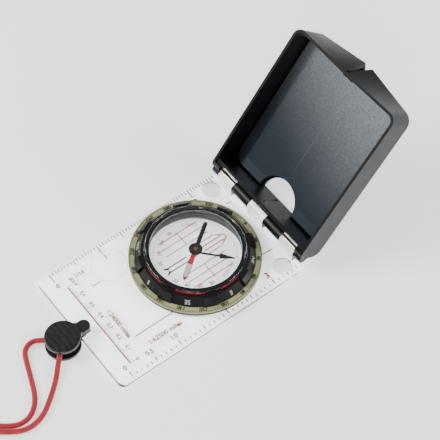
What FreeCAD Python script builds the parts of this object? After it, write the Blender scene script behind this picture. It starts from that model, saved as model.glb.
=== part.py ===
import FreeCAD, Part
import math
import os
import re
import Sketcher

# Mirror-sighting baseplate compass, in millimetres.
# The origin lies on the resting plane under the needle's pivot: +X right, +Y to the hinge, +Z up.

os.makedirs("parts", exist_ok=True)
doc = FreeCAD.newDocument("Compass")
sheet = doc.addObject("Spreadsheet::Sheet", "Sizes")

SIZES = {
    # Clearances
    "dial_gap": 0.06,
    "dial_bore_gap": 0.08,
    "pin_gap": 0.05,
    "press_gap": 0.01,
    "hinge_gap": 0.3,
    "loose_gap": 0.05,
    # Baseplate
    "plate_half_width": 32.5,
    "plate_front": 63.5,
    "plate_back": 35.5,
    "plate_thick": 2.8,
    "plate_corner": 3.0,
    "bevel_width": 1.0,
    "bevel_drop": 1.6,
    "counterbore_depth": 1.3,
    "lens_radius": 8.2,
    "lens_rise": 0.9,
    "lens_across": 20.0,
    "lens_front": 33.0,
    "foot_radius": 4.3,
    "foot_thick": 1.2,
    "foot_inset": 6.5,
    "foot_across": "plate_half_width - foot_inset",
    "foot_back": 29.0,
    "boss_radius": 1.4,
    "boss_rise": 0.4,
    "boss_inset": 7.1,
    "boss_outer": "plate_half_width - boss_inset",
    "boss_pitch": 7.0,
    "boss_inner": "boss_outer - boss_pitch",
    "boss_back": 33.0,
    # Hinge
    "hinge_overhang": 0.96,
    "hinge_height": 8.0,
    "knuckle_radius": 3.0,
    "pin_radius": 0.9,
    "pin_grip": 5.9,
    "ear_grip": 3.8,
    "centre_knuckle": 5.4,
    "side_knuckle_inset": 15.3,
    "side_knuckle_start": "plate_half_width - side_knuckle_inset",
    "side_knuckle_width": 9.6,
    "pedestal_sink": 0.8,
    # Lid
    "lid_opening": 125.3,
    "lid_inset": 0.5,
    "lid_half_width": "plate_half_width - lid_inset",
    "lid_draft": 0.6,
    "lid_length": 80.1,
    "lid_rim_dip": 0.5,
    "lid_back_step": 1.7,
    "lid_back_length": "lid_length - lid_back_step",
    "lid_peak": 4.7,
    "lid_rim": 5.05,
    "lid_back": 10.0,
    "lid_wall": 1.35,
    "lid_panel": 1.6,
    "lid_corner": 4.5,
    "lid_heel": 4.0,
    "hinge_bay": 4.6,
    "heel_wall": 1.4,
    "heel_wall_drop": 0.85,
    "nose_radius": 2.8,
    "window_radius": 10.2,
    "sight_slit": 1.0,
    "slit_top": 1.0,
    "slit_eye": 0.9,
    "groove_angle": 35.0,
    "groove_depth": 3.5,
    "notch_slit": 0.6,
    "notch_top": 3.6,
    "notch_block": 3.0,
    "notch_block_depth": 5.2,
    "notch_block_top": 1.0,
    # Mirror
    "mirror_thick": 1.5,
    "mirror_gap": 0.3,
    "mirror_corner": 5.0,
    "mirror_heel_corner": 6.0,
    "mirror_bevel": 0.5,
    "mirror_window_rim": 0.7,
    "tape_thick": 0.8,
    "tape_width": 8.0,
    "tape_length": 50.0,
    "tape_start": 20.0,
    "tape_across": 14.0,
    # Bezel, built outward from the capsule that it holds
    "capsule_radius": 23.0,
    "neck_wall": 2.2,
    "neck_radius": "capsule_radius + neck_wall",
    "neck_foot": 0.3,
    "ledge_width": 0.8,
    "ledge_radius": "capsule_radius - ledge_width",
    "collar_width": 4.0,
    "scale_inner": "capsule_radius + collar_width",
    "scale_width": 2.8,
    "flange_radius": "scale_inner + scale_width",
    "flange_thick": 1.5,
    "scale_thick": 1.0,
    "bezel_top": 9.4,
    "bezel_shoulder": 9.0,
    "lip_width": 1.3,
    "bezel_lip": "capsule_radius + lip_width",
    "lip_edge": 0.3,
    "bezel_slope_top": "bezel_lip + lip_edge",
    "grip_reach": 0.4,
    "grip_waist": 8.2,
    "grip_top": 9.6,
    "grip_width": 1.1,
    "grip_crest": "bezel_lip + grip_width",
    "grip_angle": 14.0,
    "snap_width": 1.1,
    "snap_thick": 1.0,
    # Capsule
    "capsule_seat": 3.2,
    "capsule_floor": 1.0,
    "capsule_step": 0.8,
    "capsule_step_gap": 0.15,
    "seal_space": 0.7,
    "crystal_top": 11.4,
    "crystal_thick": 0.9,
    "crystal_wall": 1.05,
    "crystal_round": 0.8,
    "ring_width": 1.3,
    "ring_bottom": 6.2,
    "ring_top": 9.0,
    "disc_thick": 0.7,
    "disc_margin": 3.4,
    "disc_radius": "capsule_radius - disc_margin",
    "screw_radius": 1.1,
    "screw_stem": 0.7,
    "screw_head": 0.7,
    "screw_slot": 0.35,
    # Needle and clinometer
    "post_radius": 0.9,
    "post_top": 6.0,
    "spike_radius": 0.45,
    "spike_top": 9.6,
    "spike_tip": 0.6,
    "bush_radius": 1.3,
    "pointer_height": 7.2,
    "pointer_thick": 0.3,
    "pointer_margin": 1.8,
    "pointer_length": "disc_radius - pointer_margin",
    "pointer_head": 6.9,
    "pointer_half": 0.45,
    "pointer_head_half": 1.35,
    "pointer_bearing": 47.0,
    "needle_height": 9.2,
    "needle_thick": 0.3,
    "needle_bearing": 145.0,
    "north_margin": 2.7,
    "north_length": "disc_radius - north_margin",
    "south_margin": 3.9,
    "south_length": "disc_radius - south_margin",
    "needle_half": 1.0,
    "needle_wide_half": 1.2,
    "lume_tip": 2.0,
    "lume_end": "north_length - lume_tip",
    "lume_length": 6.8,
    "lume_start": "lume_end - lume_length",
    "lume_thick": 0.1,
    "hub_radius": 3.1,
    "hub_neck": 1.8,
    "hub_bottom": 8.6,
    "hub_top": 10.2,
    "jewel_radius": 0.9,
    "jewel_bottom": 9.0,
    "jewel_wall": 0.3,
    # Lanyard clip
    "clip_reach": 7.5,
    "clip_radius": 7.9,
    "clip_cap_bottom": 5.9,
    "clip_cap_thick": 1.6,
    "clip_cap_round": 0.5,
    "ridge_inset": 0.9,
    "ridge_pitch": 2.46,
    "ridge_height": 0.6,
    "tongue_half": 2.9,
    "tongue_bottom": 3.05,
    "tongue_top": 5.6,
    "tongue_reach": 6.1,
    "tongue_end": "plate_front - tongue_reach",
    "hook_half": 2.6,
    "slot_half": 3.0,
    "slot_margin": 2.3,
    "slot_front": "plate_front - slot_margin",
    "slot_width": 2.8,
    "slot_back": "slot_front - slot_width",
    "hook_front_gap": 0.3,
    "hook_front": "slot_front - hook_front_gap",
    "hook_back_gap": 0.5,
    "hook_back": "slot_back + hook_back_gap",
    "neck_block": 1.4,
    "strap_thick": 1.3,
    "strap_half": 2.8,
    "strap_gap": 0.2,
    "clip_floor": 1.5,
    "drum_radius": 5.2,
    "socket_radius": 1.25,
    "socket_height": 3.7,
    "socket_floor": 3.0,
    "socket_left": 41.5,
    "socket_right": 44.5,
    # Cord
    "cord_diameter": 2.4,
    "coil_radius": 19.6,
    "coil_height": 4.9,
    "coil_across": 16.8,
    "coil_reach": 70.8,
}

# The route of each cord strand, from its socket to the coil: x, y from the clip's centre, and height.
STRAND_A = [
    (-2.0, -2.25, 3.7), (-5.6, -6.5, 3.2), (-8.9, -10.6, 1.5), (-7.2, -15.2, 1.2),
    (-1.6, -17.6, 1.2), (5.8, -20.3, 1.2), (14.8, -23.9, 1.2), (20.4, -29.4, 1.2),
    (21.2, -36.0, 1.2), (17.6, -41.6, 1.2), (9.9, -50.2, 1.2), (2.8, -58.8, 1.25),
]
STRAND_B = [
    (2.1, -2.1, 3.7), (6.4, -6.7, 2.7), (12.4, -12.0, 1.2), (18.6, -19.1, 1.2),
    (24.0, -26.9, 1.2), (24.9, -35.0, 1.2), (20.4, -42.4, 1.2), (12.4, -51.6, 1.6),
    (4.8, -60.5, 3.6),
]
BEND_SHARE = 0.45
GRIPS = 8

ROW = 1
for alias, value in SIZES.items():
    sheet.set("A%d" % ROW, alias)
    sheet.set("B%d" % ROW, "=%s" % value)
    sheet.setAlias("B%d" % ROW, alias)
    ROW += 1
doc.recompute()

subparts = []


def bound(formula):
    """Prefix every sheet name in a formula, so that an expression can use it."""
    return re.sub(r"[a-z_]+", lambda word: "Sizes." + word[0] if word[0] in SIZES else word[0], formula)


def value_of(formula):
    """Return what a formula of sheet names is worth now."""
    return float(sheet.evalExpression(bound(formula)))


def bind(item, prop, formula):
    """Tie one property of an object to a formula of sheet names."""
    item.setExpression(prop, bound(formula))


def new_body(label):
    """Start one sub-part made in PartDesign."""
    body = doc.addObject("PartDesign::Body", label)
    body.Label = label
    subparts.append(body)
    return body


def place(item, east="0", north="0", height="0"):
    """Tie the position of a sub-part to the sheet."""
    for axis, formula in (("x", east), ("y", north), ("z", height)):
        bind(item, "Placement.Base." + axis, formula)


def turn(item, axis, angle):
    """Tie the rotation of a sub-part about one axis to the sheet."""
    item.Placement = FreeCAD.Placement(FreeCAD.Vector(), FreeCAD.Rotation(FreeCAD.Vector(*axis), 1))
    bind(item, "Placement.Rotation.Angle", angle)


def new_sketch(body, role, offset="0", shift="0", spin=0.0):
    """Attach a sketch to an origin plane of its body, moved along its normal and sideways, and spun."""
    sketch = body.newObject("Sketcher::SketchObject", body.Name + "_outline")
    plane = [item for item in body.Origin.OriginFeatures if item.Role == role][0]
    sketch.AttachmentSupport = (plane, [""])
    sketch.MapMode = "FlatFace"
    if spin:
        sketch.AttachmentOffset = FreeCAD.Placement(
            FreeCAD.Vector(), FreeCAD.Rotation(FreeCAD.Vector(0, 1, 0), spin))
    bind(sketch, "AttachmentOffset.Base.z", offset)
    bind(sketch, "AttachmentOffset.Base.x", shift)
    return sketch


def pin_point(sketch, edge, end, across, along):
    """Hold one point of an edge at a pair of formulas."""
    for kind, formula, axis in (("DistanceX", across, -2), ("DistanceY", along, -1)):
        distance = value_of(formula)
        if abs(distance) < 1e-9:
            sketch.addConstraint(Sketcher.Constraint("PointOnObject", edge, end, axis))
        elif distance > 0:
            number = sketch.addConstraint(Sketcher.Constraint(kind, -1, 1, edge, end, distance))
            bind(sketch, "Constraints[%d]" % number, formula)
        else:
            number = sketch.addConstraint(Sketcher.Constraint(kind, edge, end, -1, 1, -distance))
            bind(sketch, "Constraints[%d]" % number, "-(%s)" % formula)


def arc_between(start, end, radius):
    """Return an arc from start to end that turns left by its radius, or right if it is negative."""
    chord = end - start
    middle = (start + end) * 0.5
    reach = math.sqrt(max(radius * radius - chord.Length ** 2 / 4, 0.0))
    side = FreeCAD.Vector(-chord.y, chord.x, 0).normalize() * math.copysign(1.0, radius)
    centre = middle + side * reach
    apex = centre - side * abs(radius)
    return Part.Arc(start, apex, end)


def outline(sketch, points):
    """Draw a closed outline; a third item on a point is the radius of the arc to the next point."""
    corners = [FreeCAD.Vector(value_of(point[0]), value_of(point[1]), 0) for point in points]
    first = sketch.GeometryCount
    arcs = []
    for index, point in enumerate(points):
        start = corners[index]
        end = corners[(index + 1) % len(points)]
        if len(point) == 3:
            edge = arc_between(start, end, value_of(point[2]))
            arcs.append((first + index, point[2]))
        else:
            edge = Part.LineSegment(start, end)
        sketch.addGeometry(edge, False)
    ends = []
    for index in range(len(points)):
        turned = len(points[index]) == 3 and value_of(points[index][2]) < 0
        ends.append((2, 1) if turned else (1, 2))
    for index in range(len(points)):
        follower = (index + 1) % len(points)
        sketch.addConstraint(Sketcher.Constraint(
            "Coincident", first + index, ends[index][1], first + follower, ends[follower][0]))
    for index, point in enumerate(points):
        pin_point(sketch, first + index, ends[index][0], point[0], point[1])
    for edge, radius in arcs:
        size = abs(value_of(radius))
        number = sketch.addConstraint(Sketcher.Constraint("Radius", edge, size))
        bind(sketch, "Constraints[%d]" % number, "abs(%s)" % radius)


def circle(sketch, across, along, radius):
    """Draw a circle held at a pair of formulas."""
    centre = FreeCAD.Vector(value_of(across), value_of(along), 0)
    edge = sketch.addGeometry(Part.Circle(centre, FreeCAD.Vector(0, 0, 1), value_of(radius)), False)
    pin_point(sketch, edge, 3, across, along)
    number = sketch.addConstraint(Sketcher.Constraint("Radius", edge, value_of(radius)))
    bind(sketch, "Constraints[%d]" % number, radius)


def box(left, right, front, back):
    """Return the corner formulas of a rectangle."""
    return [(left, front), (right, front), (right, back), (left, back)]


def pad(body, sketch, length, down=False):
    """Raise a sketch into material."""
    feature = body.newObject("PartDesign::Pad", body.Name + "_pad")
    feature.Profile = sketch
    bind(feature, "Length", length)
    feature.Reversed = down
    doc.recompute()
    return feature


def pocket(body, sketch, depth, forward=True):
    """Cut a sketch out of the body, along the sketch's normal when forward is true."""
    before = body.Shape.Volume
    feature = body.newObject("PartDesign::Pocket", body.Name + "_pocket")
    feature.Profile = sketch
    bind(feature, "Length", depth)
    feature.Reversed = forward
    doc.recompute()
    if body.Shape.Volume >= before:
        raise RuntimeError(body.Label + ": a pocket cuts nothing")
    return feature


def revolve(body, sketch, angle=360.0):
    """Turn a sketch about its own vertical axis."""
    feature = body.newObject("PartDesign::Revolution", body.Name + "_turned")
    feature.Profile = sketch
    feature.ReferenceAxis = (sketch, ["V_Axis"])
    feature.Angle = angle
    if angle < 360.0:
        feature.Midplane = True
    doc.recompute()
    return feature


def loft(body, kind, lower, upper):
    """Join two sketches with straight walls, as material or as a cut."""
    feature = body.newObject("PartDesign::" + kind, body.Name + "_loft")
    feature.Profile = lower
    feature.Sections = [upper]
    feature.Ruled = True
    doc.recompute()
    return feature


def dress(body, kind, chosen, **sizes):
    """Fillet or chamfer the edges of the body's tip that the chooser accepts."""
    base = body.Tip
    names = ["Edge%d" % (number + 1) for number, edge in enumerate(base.Shape.Edges) if chosen(edge)]
    if not names:
        raise RuntimeError(body.Label + ": no edge to dress")
    feature = body.newObject("PartDesign::" + kind, body.Name + "_" + kind.lower())
    feature.Base = (base, names)
    for prop, formula in sizes.items():
        bind(feature, prop, formula)
    doc.recompute()
    return feature


def middle(edge):
    """Return the point halfway along an edge."""
    return edge.valueAt((edge.FirstParameter + edge.LastParameter) / 2)


def upright(edge):
    """Say whether an edge runs mostly along Z."""
    box_ = edge.BoundBox
    return box_.ZLength > 4 * max(box_.XLength, box_.YLength)


# Heights and radii that several pieces share
HINGE_Y = "(plate_back + hinge_overhang)"
FLANGE_Z = "(plate_thick + dial_gap)"
FLANGE_TOP = "(plate_thick + dial_gap + flange_thick)"
SCALE_TOP = "(plate_thick + dial_gap + flange_thick + scale_thick)"
BORE = "(neck_radius + dial_bore_gap)"
SNAP_OUTER = "(neck_radius + snap_width)"
CAPSULE_RIM = "(capsule_seat + capsule_floor)"
CAPSULE_TOP = "(capsule_seat + capsule_floor + capsule_step)"
CRYSTAL_INNER = "(capsule_radius - crystal_wall)"
STEP_RADIUS = "(capsule_radius - crystal_wall - capsule_step_gap)"
RING_OUTER = "(capsule_radius - crystal_wall - loose_gap)"
CRYSTAL_FOOT = "(capsule_seat + capsule_floor + seal_space)"
DISC_BOTTOM = "(capsule_seat + capsule_floor + capsule_step + loose_gap)"
SCREW_OFFSET = "(disc_radius + screw_radius + loose_gap)"
CLIP_Y = "(-plate_front - clip_reach)"
PANEL_FACE = "(lid_panel - lid_back)"
MIRROR_BACK = "(lid_panel - lid_back + tape_thick)"
HEEL_FACE = "(hinge_bay + heel_wall)"
EAR_START = "(side_knuckle_start + side_knuckle_width + hinge_gap)"


def half_at(depth):
    """Return the lid's outer half width at a height above the hinge plane, as a formula."""
    return "(lid_half_width - lid_draft * (lid_rim - (%s)) / (lid_rim + lid_back))" % depth


def side_at(depth):
    """Return the lid's outer length along its sides at a height, as a formula."""
    return ("(lid_length - (lid_length - lid_back_length) * (lid_rim - (%s)) / (lid_rim + lid_back))"
            % depth)


def peak_at(depth):
    """Return the lid's outer length on its centre line at a height, as a formula."""
    return ("(lid_length - lid_rim_dip + (lid_back_length + lid_peak - lid_length + lid_rim_dip)"
            " * (lid_rim - (%s)) / (lid_rim + lid_back))" % depth)


def roof(depth, inset, near, corner):
    """Return the lid's outline at a height, drawn in by an inset, with rounded far corners."""
    half = "(%s - (%s))" % (half_at(depth), inset)
    side = "(%s - (%s))" % (side_at(depth), inset)
    peak = "(%s - (%s))" % (peak_at(depth), inset)
    slope = "atan((%s - %s) / %s)" % (peak, side, half)
    radius = "(%s) / tan((90 deg - %s) / 2)" % (corner, slope)
    turn_x = "(%s - (%s) * cos(%s))" % (half, corner, slope)
    turn_y = "%s + (%s) * sin(%s)" % (side, corner, slope)
    low = "%s - (%s)" % (side, corner)
    return [("-" + half, near), (half, near), (half, low, radius), (turn_x, turn_y), ("0", peak),
            ("-" + turn_x, turn_y, radius), ("-" + half, low)]


def make_baseplate():
    """Make the clear plate with its lens, bore, slot, foot pockets, bosses and hinge knuckles."""
    body = new_body("baseplate")
    sketch = new_sketch(body, "XY_Plane")
    outline(sketch, box("-plate_half_width", "plate_half_width", "-plate_front", "plate_back"))
    pad(body, sketch, "plate_thick")
    dress(body, "Fillet", upright, Radius="plate_corner")
    sketch = new_sketch(body, "XZ_Plane", "-plate_back - 1")
    for side in ("", "-"):
        outline(sketch, [
            (side + "(plate_half_width + 1)", "plate_thick - bevel_drop"),
            (side + "plate_half_width", "plate_thick - bevel_drop"),
            (side + "(plate_half_width - bevel_width)", "plate_thick"),
            (side + "(plate_half_width - bevel_width)", "plate_thick + 1"),
            (side + "(plate_half_width + 1)", "plate_thick + 1")])
    pocket(body, sketch, "plate_front + plate_back + 2")
    lens_ball = "((lens_radius * lens_radius + lens_rise * lens_rise) / (2 * lens_rise))"
    sketch = new_sketch(body, "XZ_Plane", "lens_front", "-lens_across")
    outline(sketch, [
        ("0", "plate_thick / 2"), ("lens_radius", "plate_thick / 2"),
        ("lens_radius", "plate_thick", lens_ball),
        ("0", "plate_thick + lens_rise")])
    revolve(body, sketch)
    sketch = new_sketch(body, "XY_Plane")
    circle(sketch, "0", "0", BORE)
    pocket(body, sketch, "plate_thick")
    sketch = new_sketch(body, "XY_Plane")
    circle(sketch, "0", "0", SNAP_OUTER + " + dial_bore_gap")
    pocket(body, sketch, "counterbore_depth")
    sketch = new_sketch(body, "XY_Plane")
    outline(sketch, box("-slot_half", "slot_half", "-slot_front", "-slot_back"))
    pocket(body, sketch, "plate_thick")
    sketch = new_sketch(body, "XY_Plane")
    outline(sketch, box("-slot_half", "slot_half", "-plate_front - 1", "-slot_front + strap_gap"))
    pocket(body, sketch, "strap_thick + strap_gap")
    sketch = new_sketch(body, "XY_Plane")
    for side in ("", "-"):
        circle(sketch, side + "foot_across", "foot_back", "foot_radius + loose_gap")
    pocket(body, sketch, "foot_thick")
    sketch = new_sketch(body, "XY_Plane", "plate_thick / 2")
    for place_x in ("boss_inner", "boss_outer", "-boss_inner", "-boss_outer"):
        circle(sketch, place_x, "boss_back", "boss_radius")
    pad(body, sketch, "plate_thick / 2 + boss_rise")
    rear = "(%s - knuckle_radius)" % HINGE_Y
    lead = "(%s + knuckle_radius)" % HINGE_Y
    base = "(plate_thick - pedestal_sink)"
    for start, width in (("-side_knuckle_start - side_knuckle_width", "side_knuckle_width"),
                         ("-centre_knuckle", "2 * centre_knuckle"),
                         ("side_knuckle_start", "side_knuckle_width")):
        sketch = new_sketch(body, "YZ_Plane", start)
        outline(sketch, [
            (rear, base), ("plate_back", base), (lead, "hinge_height", "knuckle_radius"),
            (HINGE_Y, "hinge_height + knuckle_radius", "knuckle_radius"), (rear, "hinge_height")])
        pad(body, sketch, width)
    for start in ("-side_knuckle_start - side_knuckle_width", "side_knuckle_start"):
        sketch = new_sketch(body, "YZ_Plane", start)
        circle(sketch, HINGE_Y, "hinge_height", "pin_radius + pin_gap")
        pocket(body, sketch, "side_knuckle_width")


def make_feet():
    """Make the two grip pads that fill the pockets under the plate."""
    for side, sign in (("left", "-"), ("right", "")):
        pad_ = doc.addObject("Part::Cylinder", "foot_" + side)
        pad_.Label = "foot_" + side
        bind(pad_, "Radius", "foot_radius")
        bind(pad_, "Height", "foot_thick")
        place(pad_, sign + "foot_across", "foot_back")
        subparts.append(pad_)


def set_in_lid(item):
    """Put a piece drawn in the lid's own frame at the hinge, opened to the rest angle."""
    turn(item, (1, 0, 0), "180 - lid_opening")
    place(item, "0", HINGE_Y, "hinge_height")


def make_lid_shell():
    """Make the black lid: X across, Y along the lid from the hinge axis, Z towards its open side."""
    body = new_body("lid_shell")
    lower = new_sketch(body, "XY_Plane", "-lid_back")
    outline(lower, roof("-lid_back", "0", "0", "lid_corner"))
    upper = new_sketch(body, "XY_Plane", "lid_rim")
    outline(upper, roof("lid_rim", "0", "0", "lid_corner"))
    loft(body, "AdditiveLoft", lower, upper)
    for edge, away in (("lid_rim", "+"), ("-lid_back", "-")):
        sketch = new_sketch(body, "YZ_Plane", "-lid_half_width - 1")
        curve = "-lid_heel" if away == "-" else "lid_heel"
        inward = "-" if away == "+" else "+"
        outline(sketch, [
            ("-1", "%s %s 1" % (edge, away)), ("lid_heel", "%s %s 1" % (edge, away)),
            ("lid_heel", edge, curve),
            ("0", "%s %s lid_heel" % (edge, inward)), ("-1", "%s %s lid_heel" % (edge, inward))])
        pocket(body, sketch, "2 * lid_half_width + 2")
    lower = new_sketch(body, "XY_Plane", PANEL_FACE)
    outline(lower, roof(PANEL_FACE, "lid_wall", HEEL_FACE, "lid_corner - lid_wall"))
    upper = new_sketch(body, "XY_Plane", "lid_rim")
    outline(upper, roof("lid_rim", "lid_wall", HEEL_FACE, "lid_corner - lid_wall"))
    loft(body, "SubtractiveLoft", lower, upper)
    sketch = new_sketch(body, "XY_Plane", PANEL_FACE)
    outline(sketch, box("-notch_block", "notch_block",
                        "%s - lid_wall - notch_block_depth" % peak_at(PANEL_FACE),
                        "%s - lid_wall / 2" % peak_at("notch_block_top")))
    pad(body, sketch, "notch_block_top - %s" % PANEL_FACE)
    sketch = new_sketch(body, "XY_Plane", "-lid_back - 1")
    outline(sketch, box("-" + EAR_START, EAR_START, "-1", "hinge_bay"))
    pocket(body, sketch, "lid_back + lid_rim + 2")
    sketch = new_sketch(body, "XY_Plane", "lid_rim - heel_wall_drop")
    outline(sketch, box("-(lid_half_width - lid_wall)", "lid_half_width - lid_wall",
                        "hinge_bay - 1", HEEL_FACE))
    pocket(body, sketch, "heel_wall_drop + 1")
    for start, width in (("-lid_half_width + lid_draft", "lid_half_width - lid_draft - %s" % EAR_START),
                         (EAR_START, "lid_half_width - lid_draft - %s" % EAR_START)):
        sketch = new_sketch(body, "YZ_Plane", start)
        circle(sketch, "0", "0", "nose_radius")
        pad(body, sketch, width)
    knuckle_width = "(side_knuckle_start - centre_knuckle - 2 * hinge_gap)"
    root = "(hinge_bay + heel_wall / 2)"
    for start in ("centre_knuckle + hinge_gap", "-(side_knuckle_start - hinge_gap)"):
        sketch = new_sketch(body, "YZ_Plane", start)
        outline(sketch, [
            (root, "-knuckle_radius"), (root, "knuckle_radius / 2"),
            ("knuckle_radius * cos(30)", "knuckle_radius / 2", "knuckle_radius"),
            ("0", "knuckle_radius", "knuckle_radius"), ("-knuckle_radius", "0", "knuckle_radius"),
            ("0", "-knuckle_radius")])
        pad(body, sketch, knuckle_width)
    for start, depth in (("side_knuckle_start - hinge_gap - pin_grip", "pin_grip"),
                         ("-(side_knuckle_start - hinge_gap)", "pin_grip"),
                         (EAR_START, "ear_grip"), ("-%s - ear_grip" % EAR_START, "ear_grip")):
        sketch = new_sketch(body, "YZ_Plane", start)
        circle(sketch, "0", "0", "pin_radius + press_gap")
        pocket(body, sketch, depth)
    sketch = new_sketch(body, "XY_Plane", "-lid_back - 1")
    outline(sketch, [
        ("window_radius", HEEL_FACE, "window_radius"), ("0", HEEL_FACE + " + window_radius", "window_radius"),
        ("-window_radius", HEEL_FACE)])
    pocket(body, sketch, "lid_panel + 1")
    sketch = new_sketch(body, "XZ_Plane", "-%s - 0.5" % HEEL_FACE)
    outline(sketch, box("-sight_slit / 2", "sight_slit / 2", PANEL_FACE, "slit_top"))
    pocket(body, sketch, "heel_wall + 1")
    sketch = new_sketch(body, "XZ_Plane", "-%s - 0.5" % HEEL_FACE)
    circle(sketch, "0", "slit_top", "slit_eye")
    pocket(body, sketch, "heel_wall + 1")
    groove = "(lid_back_length + lid_peak - groove_depth)"
    sketch = new_sketch(body, "XY_Plane", "-lid_back - 1")
    outline(sketch, [("0", groove), ("groove_depth * 2 * tan(groove_angle)", groove + " + groove_depth * 2"),
                     ("-groove_depth * 2 * tan(groove_angle)", groove + " + groove_depth * 2")])
    pocket(body, sketch, "lid_back + lid_rim + 2")
    reach = "(lid_back_length + lid_peak + 1)"
    inside = "(%s - lid_wall - notch_block_depth - 1)" % peak_at(PANEL_FACE)
    sketch = new_sketch(body, "XZ_Plane", "-" + reach)
    outline(sketch, box("-notch_slit / 2", "notch_slit / 2", "-lid_back - 1", "notch_top"))
    pocket(body, sketch, "%s - %s" % (reach, inside))
    sketch = new_sketch(body, "XZ_Plane", "-" + reach)
    circle(sketch, "0", "notch_top", "slit_eye")
    pocket(body, sketch, "%s - %s" % (reach, inside))
    set_in_lid(body)


def make_mirror():
    """Make the mirror plate, with its corners, its window cut-out and its notch."""
    body = new_body("mirror")
    face = "(%s + mirror_thick)" % MIRROR_BACK
    sketch = new_sketch(body, "XY_Plane", MIRROR_BACK)
    outline(sketch, roof(MIRROR_BACK, "lid_wall + mirror_gap", HEEL_FACE + " + mirror_gap", "mirror_corner"))
    pad(body, sketch, "mirror_thick")
    near = value_of(HEEL_FACE + " + 1")
    dress(body, "Fillet", lambda edge: upright(edge) and middle(edge).y < near, Radius="mirror_heel_corner")
    sketch = new_sketch(body, "XY_Plane", MIRROR_BACK)
    circle(sketch, "0", HEEL_FACE, "window_radius + mirror_window_rim")
    pocket(body, sketch, "mirror_thick")
    half = "(notch_block + mirror_gap)"
    sketch = new_sketch(body, "XY_Plane", MIRROR_BACK)
    outline(sketch, box("-" + half, half,
                        "%s - lid_wall - notch_block_depth - mirror_gap" % peak_at(PANEL_FACE),
                        "lid_back_length + lid_peak"))
    pocket(body, sketch, "mirror_thick")
    top = value_of(face)
    dress(body, "Chamfer", lambda edge: edge.BoundBox.ZMin > top - 1e-6, Size="mirror_bevel")
    set_in_lid(body)


def make_mirror_tapes():
    """Make the two tape strips that hold the mirror on the lid's panel."""
    for side, start in (("left", "-tape_across - tape_width"), ("right", "tape_across")):
        body = new_body("mirror_tape_" + side)
        sketch = new_sketch(body, "XY_Plane", PANEL_FACE)
        outline(sketch, box(start, start + " + tape_width", "tape_start", "tape_start + tape_length"))
        pad(body, sketch, "tape_thick")
        set_in_lid(body)


def make_hinge_pins():
    """Make the steel pins that run in the plate's knuckles and hold in the lid."""
    grip_start = "side_knuckle_start - hinge_gap - pin_grip"
    length = "(%s + ear_grip - (%s))" % (EAR_START, grip_start)
    for side, start in (("left", "-%s - ear_grip" % EAR_START), ("right", grip_start)):
        pin = doc.addObject("Part::Cylinder", "hinge_pin_" + side)
        pin.Label = "hinge_pin_" + side
        bind(pin, "Radius", "pin_radius")
        bind(pin, "Height", length)
        turn(pin, (0, 1, 0), "90")
        place(pin, start, HINGE_Y, "hinge_height")
        subparts.append(pin)


def make_bezel_ring():
    """Make the turning ring: a neck in the bore, a flange, a sloped collar and eight grips."""
    body = new_body("bezel_ring")
    sketch = new_sketch(body, "XZ_Plane")
    outline(sketch, [
        ("ledge_radius", "neck_foot"), ("neck_radius", "neck_foot"), ("neck_radius", FLANGE_Z),
        ("flange_radius", FLANGE_Z), ("flange_radius", FLANGE_TOP), ("scale_inner", FLANGE_TOP),
        ("scale_inner", SCALE_TOP), ("bezel_slope_top", "bezel_shoulder"), ("bezel_lip", "bezel_top"),
        ("capsule_radius + loose_gap", "bezel_top"), ("capsule_radius + loose_gap", "capsule_seat"),
        ("ledge_radius", "capsule_seat")])
    turned = revolve(body, sketch)
    grip = new_sketch(body, "XZ_Plane", spin=180 / GRIPS)
    outline(grip, [
        ("bezel_lip", SCALE_TOP), ("scale_inner + grip_reach", SCALE_TOP),
        ("scale_inner + grip_reach / 2", "grip_waist"), ("grip_crest", "grip_top"),
        ("bezel_lip", "grip_top")])
    feature = revolve(body, grip, value_of("grip_angle"))
    bind(feature, "Angle", "grip_angle")
    pattern = body.newObject("PartDesign::PolarPattern", "grips")
    pattern.Originals = [feature]
    pattern.Axis = (turned.Profile[0], ["V_Axis"])
    pattern.Angle = 360
    pattern.Occurrences = GRIPS
    body.Tip = pattern
    doc.recompute()


def make_turned(label, profile):
    """Make a piece turned about the dial's axis from a profile of radius and height."""
    body = new_body(label)
    sketch = new_sketch(body, "XZ_Plane")
    outline(sketch, profile)
    revolve(body, sketch)
    return body


def make_dial_rings():
    """Make the degree ring, the snap ring, and the dark ring inside the crystal."""
    make_turned("scale_ring", box("scale_inner + press_gap", "flange_radius", FLANGE_TOP, SCALE_TOP))
    snap_top = "(counterbore_depth - dial_gap)"
    make_turned("retaining_ring", box("neck_radius", SNAP_OUTER, snap_top + " - snap_thick", snap_top))
    make_turned("inner_ring", box(RING_OUTER + " - ring_width", RING_OUTER, "ring_bottom", "ring_top"))


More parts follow.
